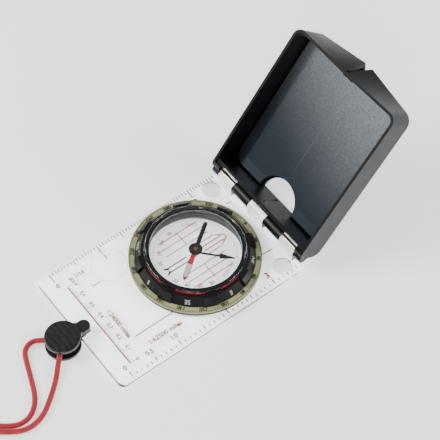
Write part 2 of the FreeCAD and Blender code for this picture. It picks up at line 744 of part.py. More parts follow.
def make_capsule():
    """Make the capsule: its base, crystal and seal, and the post that carries the needle."""
    body = make_turned("capsule_base", [
        ("0", "capsule_seat"), ("capsule_radius", "capsule_seat"), ("capsule_radius", CAPSULE_RIM),
        (STEP_RADIUS, CAPSULE_RIM), (STEP_RADIUS, CAPSULE_TOP), ("0", CAPSULE_TOP)])
    sketch = new_sketch(body, "XY_Plane", "capsule_seat")
    circle(sketch, "0", "-" + SCREW_OFFSET, "screw_stem + loose_gap")
    pocket(body, sketch, "capsule_floor + capsule_step")
    sketch = new_sketch(body, "XY_Plane", "capsule_seat")
    circle(sketch, "0", "-" + SCREW_OFFSET, "screw_radius + loose_gap")
    pocket(body, sketch, "screw_head + loose_gap")
    sketch = new_sketch(body, "XY_Plane", CAPSULE_RIM)
    circle(sketch, "0", "0", "post_radius")
    pocket(body, sketch, "capsule_step")
    make_turned("capsule_crystal", [
        (CRYSTAL_INNER, CRYSTAL_FOOT), ("capsule_radius", CRYSTAL_FOOT),
        ("capsule_radius", "crystal_top - crystal_round", "crystal_round"),
        ("capsule_radius - crystal_round", "crystal_top"), ("0", "crystal_top"),
        ("0", "crystal_top - crystal_thick"), (RING_OUTER + " - ring_width", "crystal_top - crystal_thick"),
        (RING_OUTER + " - ring_width", "ring_top"), (CRYSTAL_INNER, "ring_top")])
    seal = doc.addObject("Part::Torus", "capsule_seal")
    seal.Label = "capsule_seal"
    bind(seal, "Radius1", "(capsule_radius + %s) / 2" % STEP_RADIUS)
    bind(seal, "Radius2", "seal_space / 2")
    place(seal, height=CAPSULE_RIM + " + seal_space / 2")
    subparts.append(seal)
    make_turned("pivot_pin", [
        ("0", CAPSULE_RIM), ("post_radius", CAPSULE_RIM), ("post_radius", "post_top"),
        ("spike_radius", "post_top"), ("spike_radius", "spike_top - spike_tip"), ("0", "spike_top")])


def make_declination():
    """Make the disc that carries the meridian lines and the screw that turns it."""
    top = "(%s + disc_thick)" % DISC_BOTTOM
    make_turned("orienting_disc", box("post_radius + loose_gap", "disc_radius", DISC_BOTTOM, top))
    body = make_turned("declination_screw", [
        ("0", "capsule_seat"), ("screw_radius", "capsule_seat"),
        ("screw_radius", "capsule_seat + screw_head"), ("screw_stem", "capsule_seat + screw_head"),
        ("screw_stem", DISC_BOTTOM), ("screw_radius", DISC_BOTTOM), ("screw_radius", top), ("0", top)])
    sketch = new_sketch(body, "XY_Plane", "capsule_seat")
    outline(sketch, box("-screw_radius - 1", "screw_radius + 1", "-screw_slot / 2", "screw_slot / 2"))
    pocket(body, sketch, "screw_slot")
    place(body, north="-" + SCREW_OFFSET)


def make_clinometer():
    """Make the hanging pointer and the bush that it turns on."""
    bush_bottom = "(post_top + loose_gap)"
    make_turned("clinometer_bush", box(
        "spike_radius + loose_gap", "bush_radius", bush_bottom, "pointer_height"))
    body = new_body("clinometer_pointer")
    sketch = new_sketch(body, "XY_Plane", "pointer_height")
    neck = "(pointer_length - pointer_head)"
    outline(sketch, [
        ("-pointer_half", "0"), ("pointer_half", "0"), ("pointer_half", neck), ("pointer_head_half", neck),
        ("pointer_half / 2", "pointer_length"), ("-pointer_half / 2", "pointer_length"),
        ("-pointer_head_half", neck), ("-pointer_half", neck)])
    pad(body, sketch, "pointer_thick")
    sketch = new_sketch(body, "XY_Plane", "pointer_height")
    circle(sketch, "0", "0", "hub_neck")
    pad(body, sketch, "pointer_thick")
    sketch = new_sketch(body, "XY_Plane", "pointer_height")
    circle(sketch, "0", "0", "spike_radius + loose_gap")
    pocket(body, sketch, "pointer_thick")
    turn(body, (0, 0, 1), "-pointer_bearing")


def make_needle():
    """Make the needle's blade, luminous plate, hub and jewel."""
    blade = new_body("needle_blade")
    sketch = new_sketch(blade, "XY_Plane", "needle_height")
    outline(sketch, [
        ("needle_half", "0"), ("needle_wide_half", "lume_start"), ("needle_wide_half", "lume_end"),
        ("0", "north_length"), ("-needle_wide_half", "lume_end"), ("-needle_wide_half", "lume_start"),
        ("-needle_half", "0"), ("-needle_half", "-south_length + needle_half"), ("0", "-south_length"),
        ("needle_half", "-south_length + needle_half")])
    pad(blade, sketch, "needle_thick")
    sketch = new_sketch(blade, "XY_Plane", "needle_height")
    circle(sketch, "0", "0", "(hub_neck + hub_radius) / 2")
    pad(blade, sketch, "needle_thick")
    sketch = new_sketch(blade, "XY_Plane", "needle_height")
    circle(sketch, "0", "0", "hub_neck")
    pocket(blade, sketch, "needle_thick")
    lume = new_body("needle_lume")
    sketch = new_sketch(lume, "XY_Plane", "needle_height + needle_thick")
    outline(sketch, box("-needle_half", "needle_half", "lume_start", "lume_end"))
    pad(lume, sketch, "lume_thick")
    blade_top = "(needle_height + needle_thick)"
    hub = make_turned("needle_hub", [
        ("jewel_radius", "hub_bottom"), ("hub_neck", "hub_bottom"), ("hub_neck", blade_top),
        ("hub_radius", blade_top), ("hub_radius", "hub_top"), ("jewel_radius", "hub_top")])
    jewel = make_turned("needle_jewel", [
        ("jewel_radius - jewel_wall", "jewel_bottom"), ("jewel_radius", "jewel_bottom"),
        ("jewel_radius", "hub_top"), ("0", "hub_top"), ("0", "spike_top + loose_gap"),
        ("jewel_radius - jewel_wall", "spike_top + loose_gap")])
    for item in (blade, lume, hub, jewel):
        turn(item, (0, 0, 1), "-needle_bearing")


def make_clip():
    """Make the lanyard clip: the ridged cap with its hook, and the base with the cord drum."""
    cap = new_body("clip_cap")
    sketch = new_sketch(cap, "XY_Plane", "clip_cap_bottom")
    circle(sketch, "0", CLIP_Y, "clip_radius")
    pad(cap, sketch, "clip_cap_thick")
    half_way = value_of("clip_cap_bottom + clip_cap_thick / 2")
    dress(cap, "Fillet", lambda edge: edge.BoundBox.ZMin > half_way, Radius="clip_cap_round")
    for step in (-2, -1, 0, 1, 2):
        sketch = new_sketch(cap, "XY_Plane", "clip_cap_bottom + clip_cap_thick / 2")
        reach = "sqrt(pow(clip_radius - ridge_inset; 2) - pow(%d * ridge_pitch; 2))" % step
        line = "(%s + %d * ridge_pitch)" % (CLIP_Y, step)
        outline(sketch, box("-" + reach, reach, line + " - ridge_height", line + " + ridge_height"))
        pad(cap, sketch, "clip_cap_thick / 2 + ridge_height")
    sketch = new_sketch(cap, "XY_Plane", "tongue_bottom")
    neck = "(%s + clip_radius - 1)" % CLIP_Y
    outline(sketch, [
        ("-tongue_half", neck), ("tongue_half", neck),
        ("tongue_half", "-tongue_end - tongue_half", "tongue_half"),
        ("0", "-tongue_end", "tongue_half"), ("-tongue_half", "-tongue_end - tongue_half")])
    pad(cap, sketch, "tongue_top - tongue_bottom")
    sketch = new_sketch(cap, "XY_Plane", "tongue_bottom")
    outline(sketch, box("-tongue_half", "tongue_half", neck, neck + " + neck_block"))
    pad(cap, sketch, "clip_cap_bottom + clip_cap_thick / 2 - tongue_bottom")
    sketch = new_sketch(cap, "XY_Plane", "strap_gap")
    outline(sketch, box("-hook_half", "hook_half", "-hook_front", "-hook_back"))
    pad(cap, sketch, "(tongue_bottom + tongue_top) / 2 - strap_gap")

    base = new_body("clip_base")
    sketch = new_sketch(base, "XY_Plane")
    circle(sketch, "0", CLIP_Y, "clip_radius")
    pad(base, sketch, "clip_floor")
    sketch = new_sketch(base, "XY_Plane", "clip_floor / 2")
    circle(sketch, "0", CLIP_Y, "drum_radius")
    pad(base, sketch, "clip_cap_bottom - clip_floor / 2")
    sketch = new_sketch(base, "XY_Plane")
    outline(sketch, box("-strap_half", "strap_half", CLIP_Y, "-slot_front"))
    pad(base, sketch, "strap_thick")
    for heading, sign in (("socket_left", "-"), ("socket_right", "")):
        sketch = new_sketch(
            base, "XZ_Plane", "-%s + socket_floor * cos(%s)" % (CLIP_Y, heading),
            "%ssocket_floor * sin(%s)" % (sign, heading), spin=float(sign + "1") * value_of(heading))
        circle(sketch, "0", "socket_height", "socket_radius")
        pocket(base, sketch, "drum_radius")


def strand_shape(route):
    """Return a round tube along straight runs joined by tangent arcs, with its length and its radii."""
    points = [FreeCAD.Vector(*point) for point in route]
    edges = []
    radii = []
    start = points[0]
    for before, corner, after in zip(points, points[1:], points[2:]):
        inward = (corner - before).normalize()
        outward = (after - corner).normalize()
        half_turn = inward.getAngle(outward) / 2
        shorter = min((corner - before).Length, (after - corner).Length)
        radius = BEND_SHARE * shorter / math.tan(half_turn)
        radii.append(radius)
        enter = corner - inward * (BEND_SHARE * shorter)
        leave = corner + outward * (BEND_SHARE * shorter)
        bisector = (outward - inward).normalize()
        apex = corner + bisector * (radius / math.cos(half_turn) - radius)
        edges.append(Part.LineSegment(start, enter).toShape())
        edges.append(Part.Arc(enter, apex, leave).toShape())
        start = leave
    edges.append(Part.LineSegment(start, points[-1]).toShape())
    path = Part.Wire(edges)
    circle = Part.Circle(points[0], points[1] - points[0], value_of("cord_diameter / 2"))
    section = Part.Wire(circle.toShape())
    return path.makePipeShell([section], True, True), path.Length, radii


def make_cord():
    """Make the two strands that leave the clip and the plain solid of the coil they run into."""
    area = math.pi * value_of("cord_diameter") ** 2 / 4
    for name, route in (("cord_strand_a", STRAND_A), ("cord_strand_b", STRAND_B)):
        shape, length, radii = strand_shape(route)
        strand = doc.addObject("Part::Feature", name)
        strand.Label = name
        strand.Shape = shape
        place(strand, north=CLIP_Y)
        subparts.append(strand)
        print("%s: length %.1f, radii %s" % (name, length, [round(radius, 1) for radius in radii]))
        print("%s: volume %.2f of %.2f" % (name, shape.Volume, area * length))
    coil = doc.addObject("Part::Cylinder", "cord_coil")
    coil.Label = "cord_coil"
    bind(coil, "Radius", "coil_radius")
    bind(coil, "Height", "coil_height")
    place(coil, "coil_across", CLIP_Y + " - coil_reach")
    subparts.append(coil)


make_baseplate()
make_feet()
make_lid_shell()
make_mirror()
make_mirror_tapes()
make_hinge_pins()
make_bezel_ring()
make_dial_rings()
make_capsule()
make_declination()
make_clinometer()
make_needle()
make_clip()
make_cord()
doc.recompute()

for item in doc.Objects:
    if "Invalid" in item.State or "Error" in item.State:
        raise RuntimeError("%s is %s" % (item.Label, item.State))
for item in subparts:
    if item.Shape.isNull() or not item.Shape.isValid():
        raise RuntimeError(item.Label + " has no valid shape")
for item in subparts:
    item.Shape.exportStep("parts/%s.step" % item.Label)
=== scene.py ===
import logging
import math
from dataclasses import dataclass
from enum import Enum
from typing import Callable, Sequence

import bmesh
import bpy
from mathutils import Matrix, Vector


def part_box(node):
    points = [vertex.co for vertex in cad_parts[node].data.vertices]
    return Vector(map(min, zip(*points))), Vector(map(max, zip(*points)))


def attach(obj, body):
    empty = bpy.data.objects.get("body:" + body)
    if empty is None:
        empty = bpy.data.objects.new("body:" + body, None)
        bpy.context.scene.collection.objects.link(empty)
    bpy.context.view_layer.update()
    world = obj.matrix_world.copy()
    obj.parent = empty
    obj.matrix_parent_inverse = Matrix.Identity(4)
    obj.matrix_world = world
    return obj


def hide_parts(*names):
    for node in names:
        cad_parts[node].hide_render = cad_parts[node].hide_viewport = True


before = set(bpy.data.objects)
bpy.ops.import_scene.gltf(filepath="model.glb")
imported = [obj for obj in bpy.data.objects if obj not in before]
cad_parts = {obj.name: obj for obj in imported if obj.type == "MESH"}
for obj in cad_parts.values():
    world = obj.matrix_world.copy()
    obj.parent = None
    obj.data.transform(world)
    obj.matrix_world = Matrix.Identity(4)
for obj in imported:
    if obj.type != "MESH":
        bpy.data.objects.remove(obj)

LOG = logging.getLogger("compass")
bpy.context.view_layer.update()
MM = 0.001
Point = tuple[float, float]
Place = tuple[float, float, float]
Stroke = tuple[Point, Point, float]
Warp = Callable[[Vector], Vector]
Tree = bpy.types.NodeTree
Socket = bpy.types.NodeSocket

# Where the lid's hinge axis lies and how far the lid stands open, as the part's source has them.
HINGE_Y = 36.46
HINGE_Z = 8.0
LID_OPENING = 125.3

# How busy a noise texture is, the share of a letter's size that a capital takes, and the sRGB curve.
PLAIN_DETAIL = 2.0
COARSE_DETAIL = 3.0
CAPITAL_SHARE = 0.7
SRGB_KNEE = 0.04045
SRGB_SLOPE = 12.92
SRGB_LIFT = 0.055
SRGB_POWER = 2.4


class Layout(Enum):
    """How a set of graduation marks is laid out."""

    ROW = "row"
    RING = "ring"


def linear(code: str) -> tuple[float, float, float, float]:
    """Turn an sRGB hex code into a linear colour.

    Args:
        code: six hex digits.

    Returns:
        Red, green, blue and an alpha of one.
    """
    shares = [int(code[start:start + 2], 16) / 255 for start in (0, 2, 4)]
    lit = [share / SRGB_SLOPE if share <= SRGB_KNEE else ((share + SRGB_LIFT) / (1 + SRGB_LIFT)) ** SRGB_POWER
           for share in shares]
    return (lit[0], lit[1], lit[2], 1.0)


def add(tree: Tree, kind: str, values: dict | None = None, links: dict | None = None,
        **settings: object) -> bpy.types.Node:
    """Add a node with its settings, input values and links.

    Args:
        tree: the node tree.
        kind: the node's type name.
        values: input values by socket name or number.
        links: sockets to link in, by input name or number.
        settings: the node's own properties.

    Returns:
        The new node.
    """
    made = tree.nodes.new(kind)
    for name, value in settings.items():
        setattr(made, name, value)
    for name, value in (values or {}).items():
        made.inputs[name].default_value = value
    for name, socket in (links or {}).items():
        tree.links.new(socket, made.inputs[name])
    return made


def here(tree: Tree) -> Socket:
    """Add a place lookup, and return the place on the object."""
    return add(tree, "ShaderNodeTexCoord").outputs["Object"]


def noise(tree: Tree, place: Socket, size_mm: float, detail: float = PLAIN_DETAIL,
          **values: float) -> Socket:
    """Add a noise texture with grains of a size in millimetres, and return its strength."""
    return add(tree, "ShaderNodeTexNoise", {"Scale": 1 / (size_mm * MM), "Detail": detail, **values},
               {"Vector": place}).outputs["Fac"]


def between(tree: Tree, ends: Point, share: Socket, level: float = 1.0) -> Socket:
    """Add a map from a share of nought to one onto two values times a level, and return the value."""
    return add(tree, "ShaderNodeMapRange", {"To Min": level * ends[0], "To Max": level * ends[1]},
               {"Value": share}).outputs["Result"]


def blend(tree: Tree, first: str, second: str, share: Socket) -> Socket:
    """Add a mix of two hex colours, and return the colour."""
    return add(tree, "ShaderNodeMix", {"A": linear(first), "B": linear(second)}, {"Factor": share},
               data_type="RGBA").outputs["Result"]


def bumped(tree: Tree, strength: float, reach_mm: float, height: Socket) -> Socket:
    """Add a bump, and return the surface direction."""
    return add(tree, "ShaderNodeBump", {"Strength": strength, "Distance": reach_mm * MM},
               {"Height": height}).outputs["Normal"]


@dataclass(frozen=True)
class Finish:
    """A procedural finish: each kind says how its shader is built."""

    name: str

    def make(self) -> bpy.types.Material:
        """Build the material and return it."""
        material = bpy.data.materials.new(self.name)
        material.use_nodes = True
        tree = material.node_tree
        tree.nodes.clear()
        add(tree, "ShaderNodeOutputMaterial", links={"Surface": self.shader(tree).outputs[0]})
        return material

    def shader(self, tree: Tree) -> bpy.types.Node:
        """Add the nodes of this kind of finish and return its shader."""
        raise NotImplementedError


@dataclass(frozen=True)
class Moulded(Finish):
    """Injection-moulded plastic: an even colour, faint flow mottling and a fine tool grain."""

    colour: str
    mottle: str
    roughness: float
    grain_mm: float
    depth: float
    gloss: float = 0.5
    flow_mm: float = 6.0
    bump_mm: float = 0.02
    spread: Point = (0.85, 1.2)
    ior: float = 1.53

    def shader(self, tree: Tree) -> bpy.types.Node:
        """Build the shader."""
        place = here(tree)
        flow = noise(tree, place, self.flow_mm, COARSE_DETAIL)
        tone = blend(tree, self.colour, self.mottle, flow)
        grain = noise(tree, place, self.grain_mm)
        normal = bumped(tree, self.depth, self.bump_mm, grain)
        rough = between(tree, self.spread, flow, self.roughness)
        return add(tree, "ShaderNodeBsdfPrincipled", {"IOR": self.ior, "Specular IOR Level": self.gloss},
                   {"Base Color": tone, "Roughness": rough, "Normal": normal})


@dataclass(frozen=True)
class Clear(Finish):
    """Polished clear plastic: it bends light at its edges and lets lamps through to what is under it."""

    tint: str
    roughness: float
    ior: float
    waviness: float = 0.05
    ripple_mm: float = 9.0
    ripple_detail: float = 1.0
    bump_mm: float = 0.1

    def shader(self, tree: Tree) -> bpy.types.Node:
        """Build the shader."""
        place = here(tree)
        ripple = noise(tree, place, self.ripple_mm, self.ripple_detail)
        normal = bumped(tree, self.waviness, self.bump_mm, ripple)
        glass = add(tree, "ShaderNodeBsdfPrincipled",
                    {"Base Color": linear(self.tint), "Roughness": self.roughness, "IOR": self.ior,
                     "Transmission Weight": 1.0}, {"Normal": normal})
        open_way = add(tree, "ShaderNodeBsdfTransparent", {"Color": linear(self.tint)})
        path = add(tree, "ShaderNodeLightPath")
        return add(tree, "ShaderNodeMixShader", links={
            0: path.outputs["Is Shadow Ray"], 1: glass.outputs[0], 2: open_way.outputs[0]})


@dataclass(frozen=True)
class Ink(Finish):
    """Screen-printed ink: a thin matt film whose strength varies a little."""

    colour: str
    worn: str
    roughness: float = 0.45
    patch_mm: float = 1.5

    def shader(self, tree: Tree) -> bpy.types.Node:
        """Build the shader."""
        place = here(tree)
        tone = blend(tree, self.colour, self.worn, noise(tree, place, self.patch_mm, COARSE_DETAIL))
        return add(tree, "ShaderNodeBsdfPrincipled", {"Roughness": self.roughness}, {"Base Color": tone})


@dataclass(frozen=True)
class Metal(Finish):
    """Turned or ground metal: fine lines along one direction."""

    colour: str
    roughness: float
    line_mm: float
    stretch: tuple[float, float, float]
    depth: float = 0.3
    bump_mm: float = 0.01
    spread: Point = (0.7, 1.3)

    def shader(self, tree: Tree) -> bpy.types.Node:
        """Build the shader."""
        place = here(tree)
        turned = add(tree, "ShaderNodeMapping", {"Scale": self.stretch}, {"Vector": place})
        lines = noise(tree, turned.outputs["Vector"], self.line_mm)
        normal = bumped(tree, self.depth, self.bump_mm, lines)
        rough = between(tree, self.spread, lines, self.roughness)
        return add(tree, "ShaderNodeBsdfPrincipled", {"Base Color": linear(self.colour), "Metallic": 1.0},
                   {"Roughness": rough, "Normal": normal})


@dataclass(frozen=True)
class Silvered(Finish):
    """Silvered acrylic that mirrors dimly: a smoky reflection, hairline scuffs, and a far end painted lighter
    towards the top: dust speckle mixed with painted sheen.
    """

    colour: str
    dust_and_sheen_colour: str
    dust_and_sheen_start_mm: float
    dust_and_sheen_end_mm: float
    speckle_mm: float = 0.9
    speckle_detail: float = 5.0
    speckle_roughness: float = 0.7
    climb: tuple[float, float, float] = (0.35, 0.0, 1.0)
    shine: Point = (0.06, 0.3)
    metallic: float = 0.7

    def shader(self, tree: Tree) -> bpy.types.Node:
        """Build the shader."""
        place = here(tree)
        speckle = noise(tree, place, self.speckle_mm, self.speckle_detail, Roughness=self.speckle_roughness)
        # painted sheen: the colour lightens towards the top and the +X side, with dust speckle mixed in
        climb = add(tree, "ShaderNodeVectorMath", {1: self.climb}, {0: place}, operation="DOT_PRODUCT")
        reach = add(tree, "ShaderNodeMapRange", {
            "From Min": self.dust_and_sheen_start_mm * MM, "From Max": self.dust_and_sheen_end_mm * MM},
            {"Value": climb.outputs["Value"]}, interpolation_type="SMOOTHSTEP")
        dust_and_sheen = add(tree, "ShaderNodeMath", links={0: reach.outputs["Result"], 1: speckle},
                   operation="MULTIPLY").outputs["Value"]
        tone = blend(tree, self.colour, self.dust_and_sheen_colour, dust_and_sheen)
        rough = between(tree, self.shine, dust_and_sheen)
        return add(tree, "ShaderNodeBsdfPrincipled", {"Metallic": self.metallic},
                   {"Base Color": tone, "Roughness": rough})


@dataclass(frozen=True)
class NeedlePaint(Finish):
    """Stamped steel painted in two colours that meet across the pivot."""

    north: str
    south: str
    bearing: float
    meet_mm: float = 1.0
    paint_mm: float = 0.8
    shine: Point = (0.3, 0.45)
    gloss: float = 0.15

    def shader(self, tree: Tree) -> bpy.types.Node:
        """Build the shader."""
        place = here(tree)
        heading = math.radians(self.bearing)
        along = add(tree, "ShaderNodeVectorMath", {1: (math.sin(heading), math.cos(heading), 0.0)},
                    {0: place}, operation="DOT_PRODUCT")
        side = add(tree, "ShaderNodeMath", {1: self.meet_mm * MM}, {0: along.outputs["Value"]},
                   operation="GREATER_THAN")
        paint = noise(tree, place, self.paint_mm)
        tone = blend(tree, self.south, self.north, side.outputs["Value"])
        rough = between(tree, self.shine, paint)
        return add(tree, "ShaderNodeBsdfPrincipled", {"Specular IOR Level": self.gloss},
                   {"Base Color": tone, "Roughness": rough})


@dataclass(frozen=True)
class Braided(Finish):
    """Braided polyester cord: diamond-shaped plaits drawn on the cord's own map, with their crests painted
    lighter and the grooves between them painted darker: painted highlight and painted shade.
    """

    thread: str
    painted_groove_shade: str
    plait_mm: float
    strands: int
    depth: float = 0.8
    bump_mm: float = 0.25
    roughness: float = 0.55
    sheen: Point = (0.3, 0.4)

    def shader(self, tree: Tree) -> bpy.types.Node:
        """Build the shader."""
        place = add(tree, "ShaderNodeUVMap", uv_map="Cord")
        parts = add(tree, "ShaderNodeSeparateXYZ", links={"Vector": place.outputs["UV"]})
        along = add(tree, "ShaderNodeMath", {1: 2 * math.pi / (self.plait_mm * MM)},
                    {0: parts.outputs["X"]}, operation="MULTIPLY")
        round_way = add(tree, "ShaderNodeMath", {1: 2 * math.pi * self.strands / 2},
                        {0: parts.outputs["Y"]}, operation="MULTIPLY")
        waves = []
        for way in ("ADD", "SUBTRACT"):
            slant = add(tree, "ShaderNodeMath", links={0: along.outputs[0], 1: round_way.outputs[0]},
                        operation=way)
            wave = add(tree, "ShaderNodeMath", links={0: slant.outputs[0]}, operation="SINE")
            waves.append(add(tree, "ShaderNodeMath", links={0: wave.outputs[0]}, operation="ABSOLUTE"))
        plait = add(tree, "ShaderNodeMath", links={0: waves[0].outputs[0], 1: waves[1].outputs[0]},
                    operation="MULTIPLY").outputs[0]
        normal = bumped(tree, self.depth, self.bump_mm, plait)
        # painted shade in the grooves between plaits, painted highlight on their crests
        tone = blend(tree, self.painted_groove_shade, self.thread, plait)
        return add(tree, "ShaderNodeBsdfPrincipled",
                   {"Roughness": self.roughness, "Sheen Weight": self.sheen[0],
                    "Sheen Roughness": self.sheen[1]}, {"Base Color": tone, "Normal": normal})


@dataclass(frozen=True)
class Film(Finish):
    """A clear soft part or film that dims what lies under it a little and shows a broad sheen."""

    colour: str
    cover: float
    haze_mm: float = 3.0
    spread: Point = (0.7, 1.3)
    roughness: float = 0.35

    def shader(self, tree: Tree) -> bpy.types.Node:
        """Build the shader."""
        place = here(tree)
        haze = noise(tree, place, self.haze_mm)
        share = between(tree, self.spread, haze, self.cover)
        clear = add(tree, "ShaderNodeBsdfTransparent")
        body = add(tree, "ShaderNodeBsdfPrincipled", {
            "Base Color": linear(self.colour), "Roughness": self.roughness})
        return add(tree, "ShaderNodeMixShader", links={0: share, 1: clear.outputs[0], 2: body.outputs[0]})


@dataclass(frozen=True)
class LitPaper(Finish):
    """Seamless studio paper lit from behind, so that it reads white: a faint fibre and an even glow."""

    colour: str
    light: str
    glow: float
    fibre_mm: float = 2.0
    shine: Point = (0.8, 0.9)

    def shader(self, tree: Tree) -> bpy.types.Node:
        """Build the shader."""
        place = here(tree)
        rough = between(tree, self.shine, noise(tree, place, self.fibre_mm))
        return add(tree, "ShaderNodeBsdfPrincipled", {
            "Base Color": linear(self.colour), "Specular IOR Level": 0.0,
            "Emission Color": linear(self.light), "Emission Strength": self.glow}, {"Roughness": rough})


BLACK_ABS = Moulded("satin_black_abs", "070809", "0D0E10", 0.4, 0.35, 0.12, 0.25)
BEZEL_ABS = Moulded("bezel_black_abs", "09090A", "101011", 0.36, 0.3, 0.15, 0.3)
CLIP_NYLON = Moulded("clip_black_nylon", "0E0E0F", "161617", 0.36, 0.4, 0.25, 0.6)
OLIVE_LUME = Moulded("olive_luminous_resin", "A3A57C", "94966E", 0.5, 0.4, 0.1, 0.2)
RING_ABS = Moulded("inner_ring_abs", "08090A", "0E0F10", 0.5, 0.4, 0.1, 0.2)
SEAL = Moulded("nitrile_seal", "1B1B1C", "232323", 0.6, 0.4, 0.2)
FOAM = Moulded("foam_tape", "C9C8C0", "B8B7AF", 0.8, 0.3, 0.6)
HUB = Moulded("needle_hub_resin", "060606", "0A0909", 0.35, 0.3, 0.1, 0.3)
GARNET = Moulded("jewel_bearing", "4A3022", "5E3E2C", 0.2, 0.5, 0.02)
LUME = Moulded("luminous_strip", "A2A49C", "94968E", 0.55, 0.3, 0.1, 0.2)
ACRYLIC = Clear("clear_acrylic", "FCFEFD", 0.0, 1.49)
CAPSULE = Clear("capsule_acrylic", "FCFDFD", 0.0, 1.49, 0.02)
DISC_FILM = Film("orienting_film", "F4F2F5", 0.12)
SILICONE = Film("clear_silicone", "C9CFCB", 0.22)
STEEL = Metal("ground_steel", "B9A77E", 0.28, 0.25, (0.05, 1.0, 1.0))
SPRING = Metal("spring_steel", "8B8D90", 0.4, 0.3, (1.0, 1.0, 0.1))
BRASS = Metal("turned_brass", "C4A15B", 0.3, 0.2, (1.0, 1.0, 0.1))
# the pale second colour is painted sheen mixed with dust, laid on from 18 mm to 80 mm up the lid
MIRROR = Silvered("silvered_acrylic", "454C55", "E4EAEE", 18.0, 80.0)
NEEDLE = NeedlePaint("needle_paint", "8E1620", "08080A", 145.0)
POINTER = Moulded("pointer_black", "040405", "070708", 0.5, 0.5, 0.05, 0.1)
RED_INK = Ink("red_ink", "80060F", "8E101A")
PINK_INK = Ink("thin_red_ink", "7E2A34", "8A363F")
BLACK_INK = Ink("black_ink", "060607", "101112")
GREY_INK = Ink("grey_ink", "565B5D", "666B6D")
SIGHT_INK = Ink("sight_line_ink", "3F464C", "4A5158")
WHITE_INK = Ink("white_ink", "DDE0E2", "C4C8CA")
# painted reflection: red arcs that stand in for red printing seen reflected through the crystal's foot, laid
# with the ink finish
RED_REFLECTION_PAINT = Ink("painted_red_reflection", "B3202E", "9C1C28", 0.3)
# the second colour is painted shade for the grooves between the plaits
BRAID = Braided("braided_polyester", "D81E2C", "8E0B18", 1.5, 8)


def flat_at(height: float) -> Warp:
    """Return a warp that lays artwork level at a height in millimetres."""
    return lambda point: Vector((point.x, point.y, height))


def on_wall(base: float, foot: float, radius: float) -> Warp:
    """Return a warp that stands a flat ring up as a round wall.

    Args:
        base: the flat radius that meets the wall's foot.
        foot: the wall's lowest height.
        radius: the wall's radius.
    """
    def warp(point: Vector) -> Vector:
        reach = math.hypot(point.x, point.y)
        return Vector((point.x / reach * radius, point.y / reach * radius, foot + reach - base))
    return warp


def on_cone(low: Point, high: Point) -> Warp:
    """Return a warp that lays a flat ring on a cone.

    Args:
        low: radius and height at the cone's wide end.
        high: radius and height at its narrow end.
    """
    length = math.hypot(low[0] - high[0], low[1] - high[1])
    middle = ((low[0] + high[0]) / 2, (low[1] + high[1]) / 2)

    def warp(point: Vector) -> Vector:
        reach = math.hypot(point.x, point.y)
        share = (reach - middle[0]) / length
        radius = middle[0] + share * (low[0] - high[0])
        return Vector((point.x / reach * radius, point.y / reach * radius,
                       middle[1] + share * (low[1] - high[1])))
    return warp


def in_lid(height: float) -> Warp:
    """Return a warp from the lid's own plane, X across and Y along it, to where the lid stands."""
    angle = math.radians(180 - LID_OPENING)
    turn = Matrix.Rotation(angle, 3, "X")
    return lambda point: turn @ Vector((point.x, point.y, height)) + Vector((0, HINGE_Y, HINGE_Z))


def linked(name: str, data: bpy.types.ID) -> bpy.types.Object:
    """Put data in a new object in the scene, and return the object."""
    holder = bpy.data.objects.new(name, data)
    bpy.context.scene.collection.objects.link(holder)
    return holder


def meshed(holder: bpy.types.Object) -> bpy.types.Mesh:
    """Return a new mesh of what an object evaluates to."""
    bpy.context.view_layer.update()
    depsgraph = bpy.context.evaluated_depsgraph_get()
    return bpy.data.meshes.new_from_object(holder.evaluated_get(depsgraph))


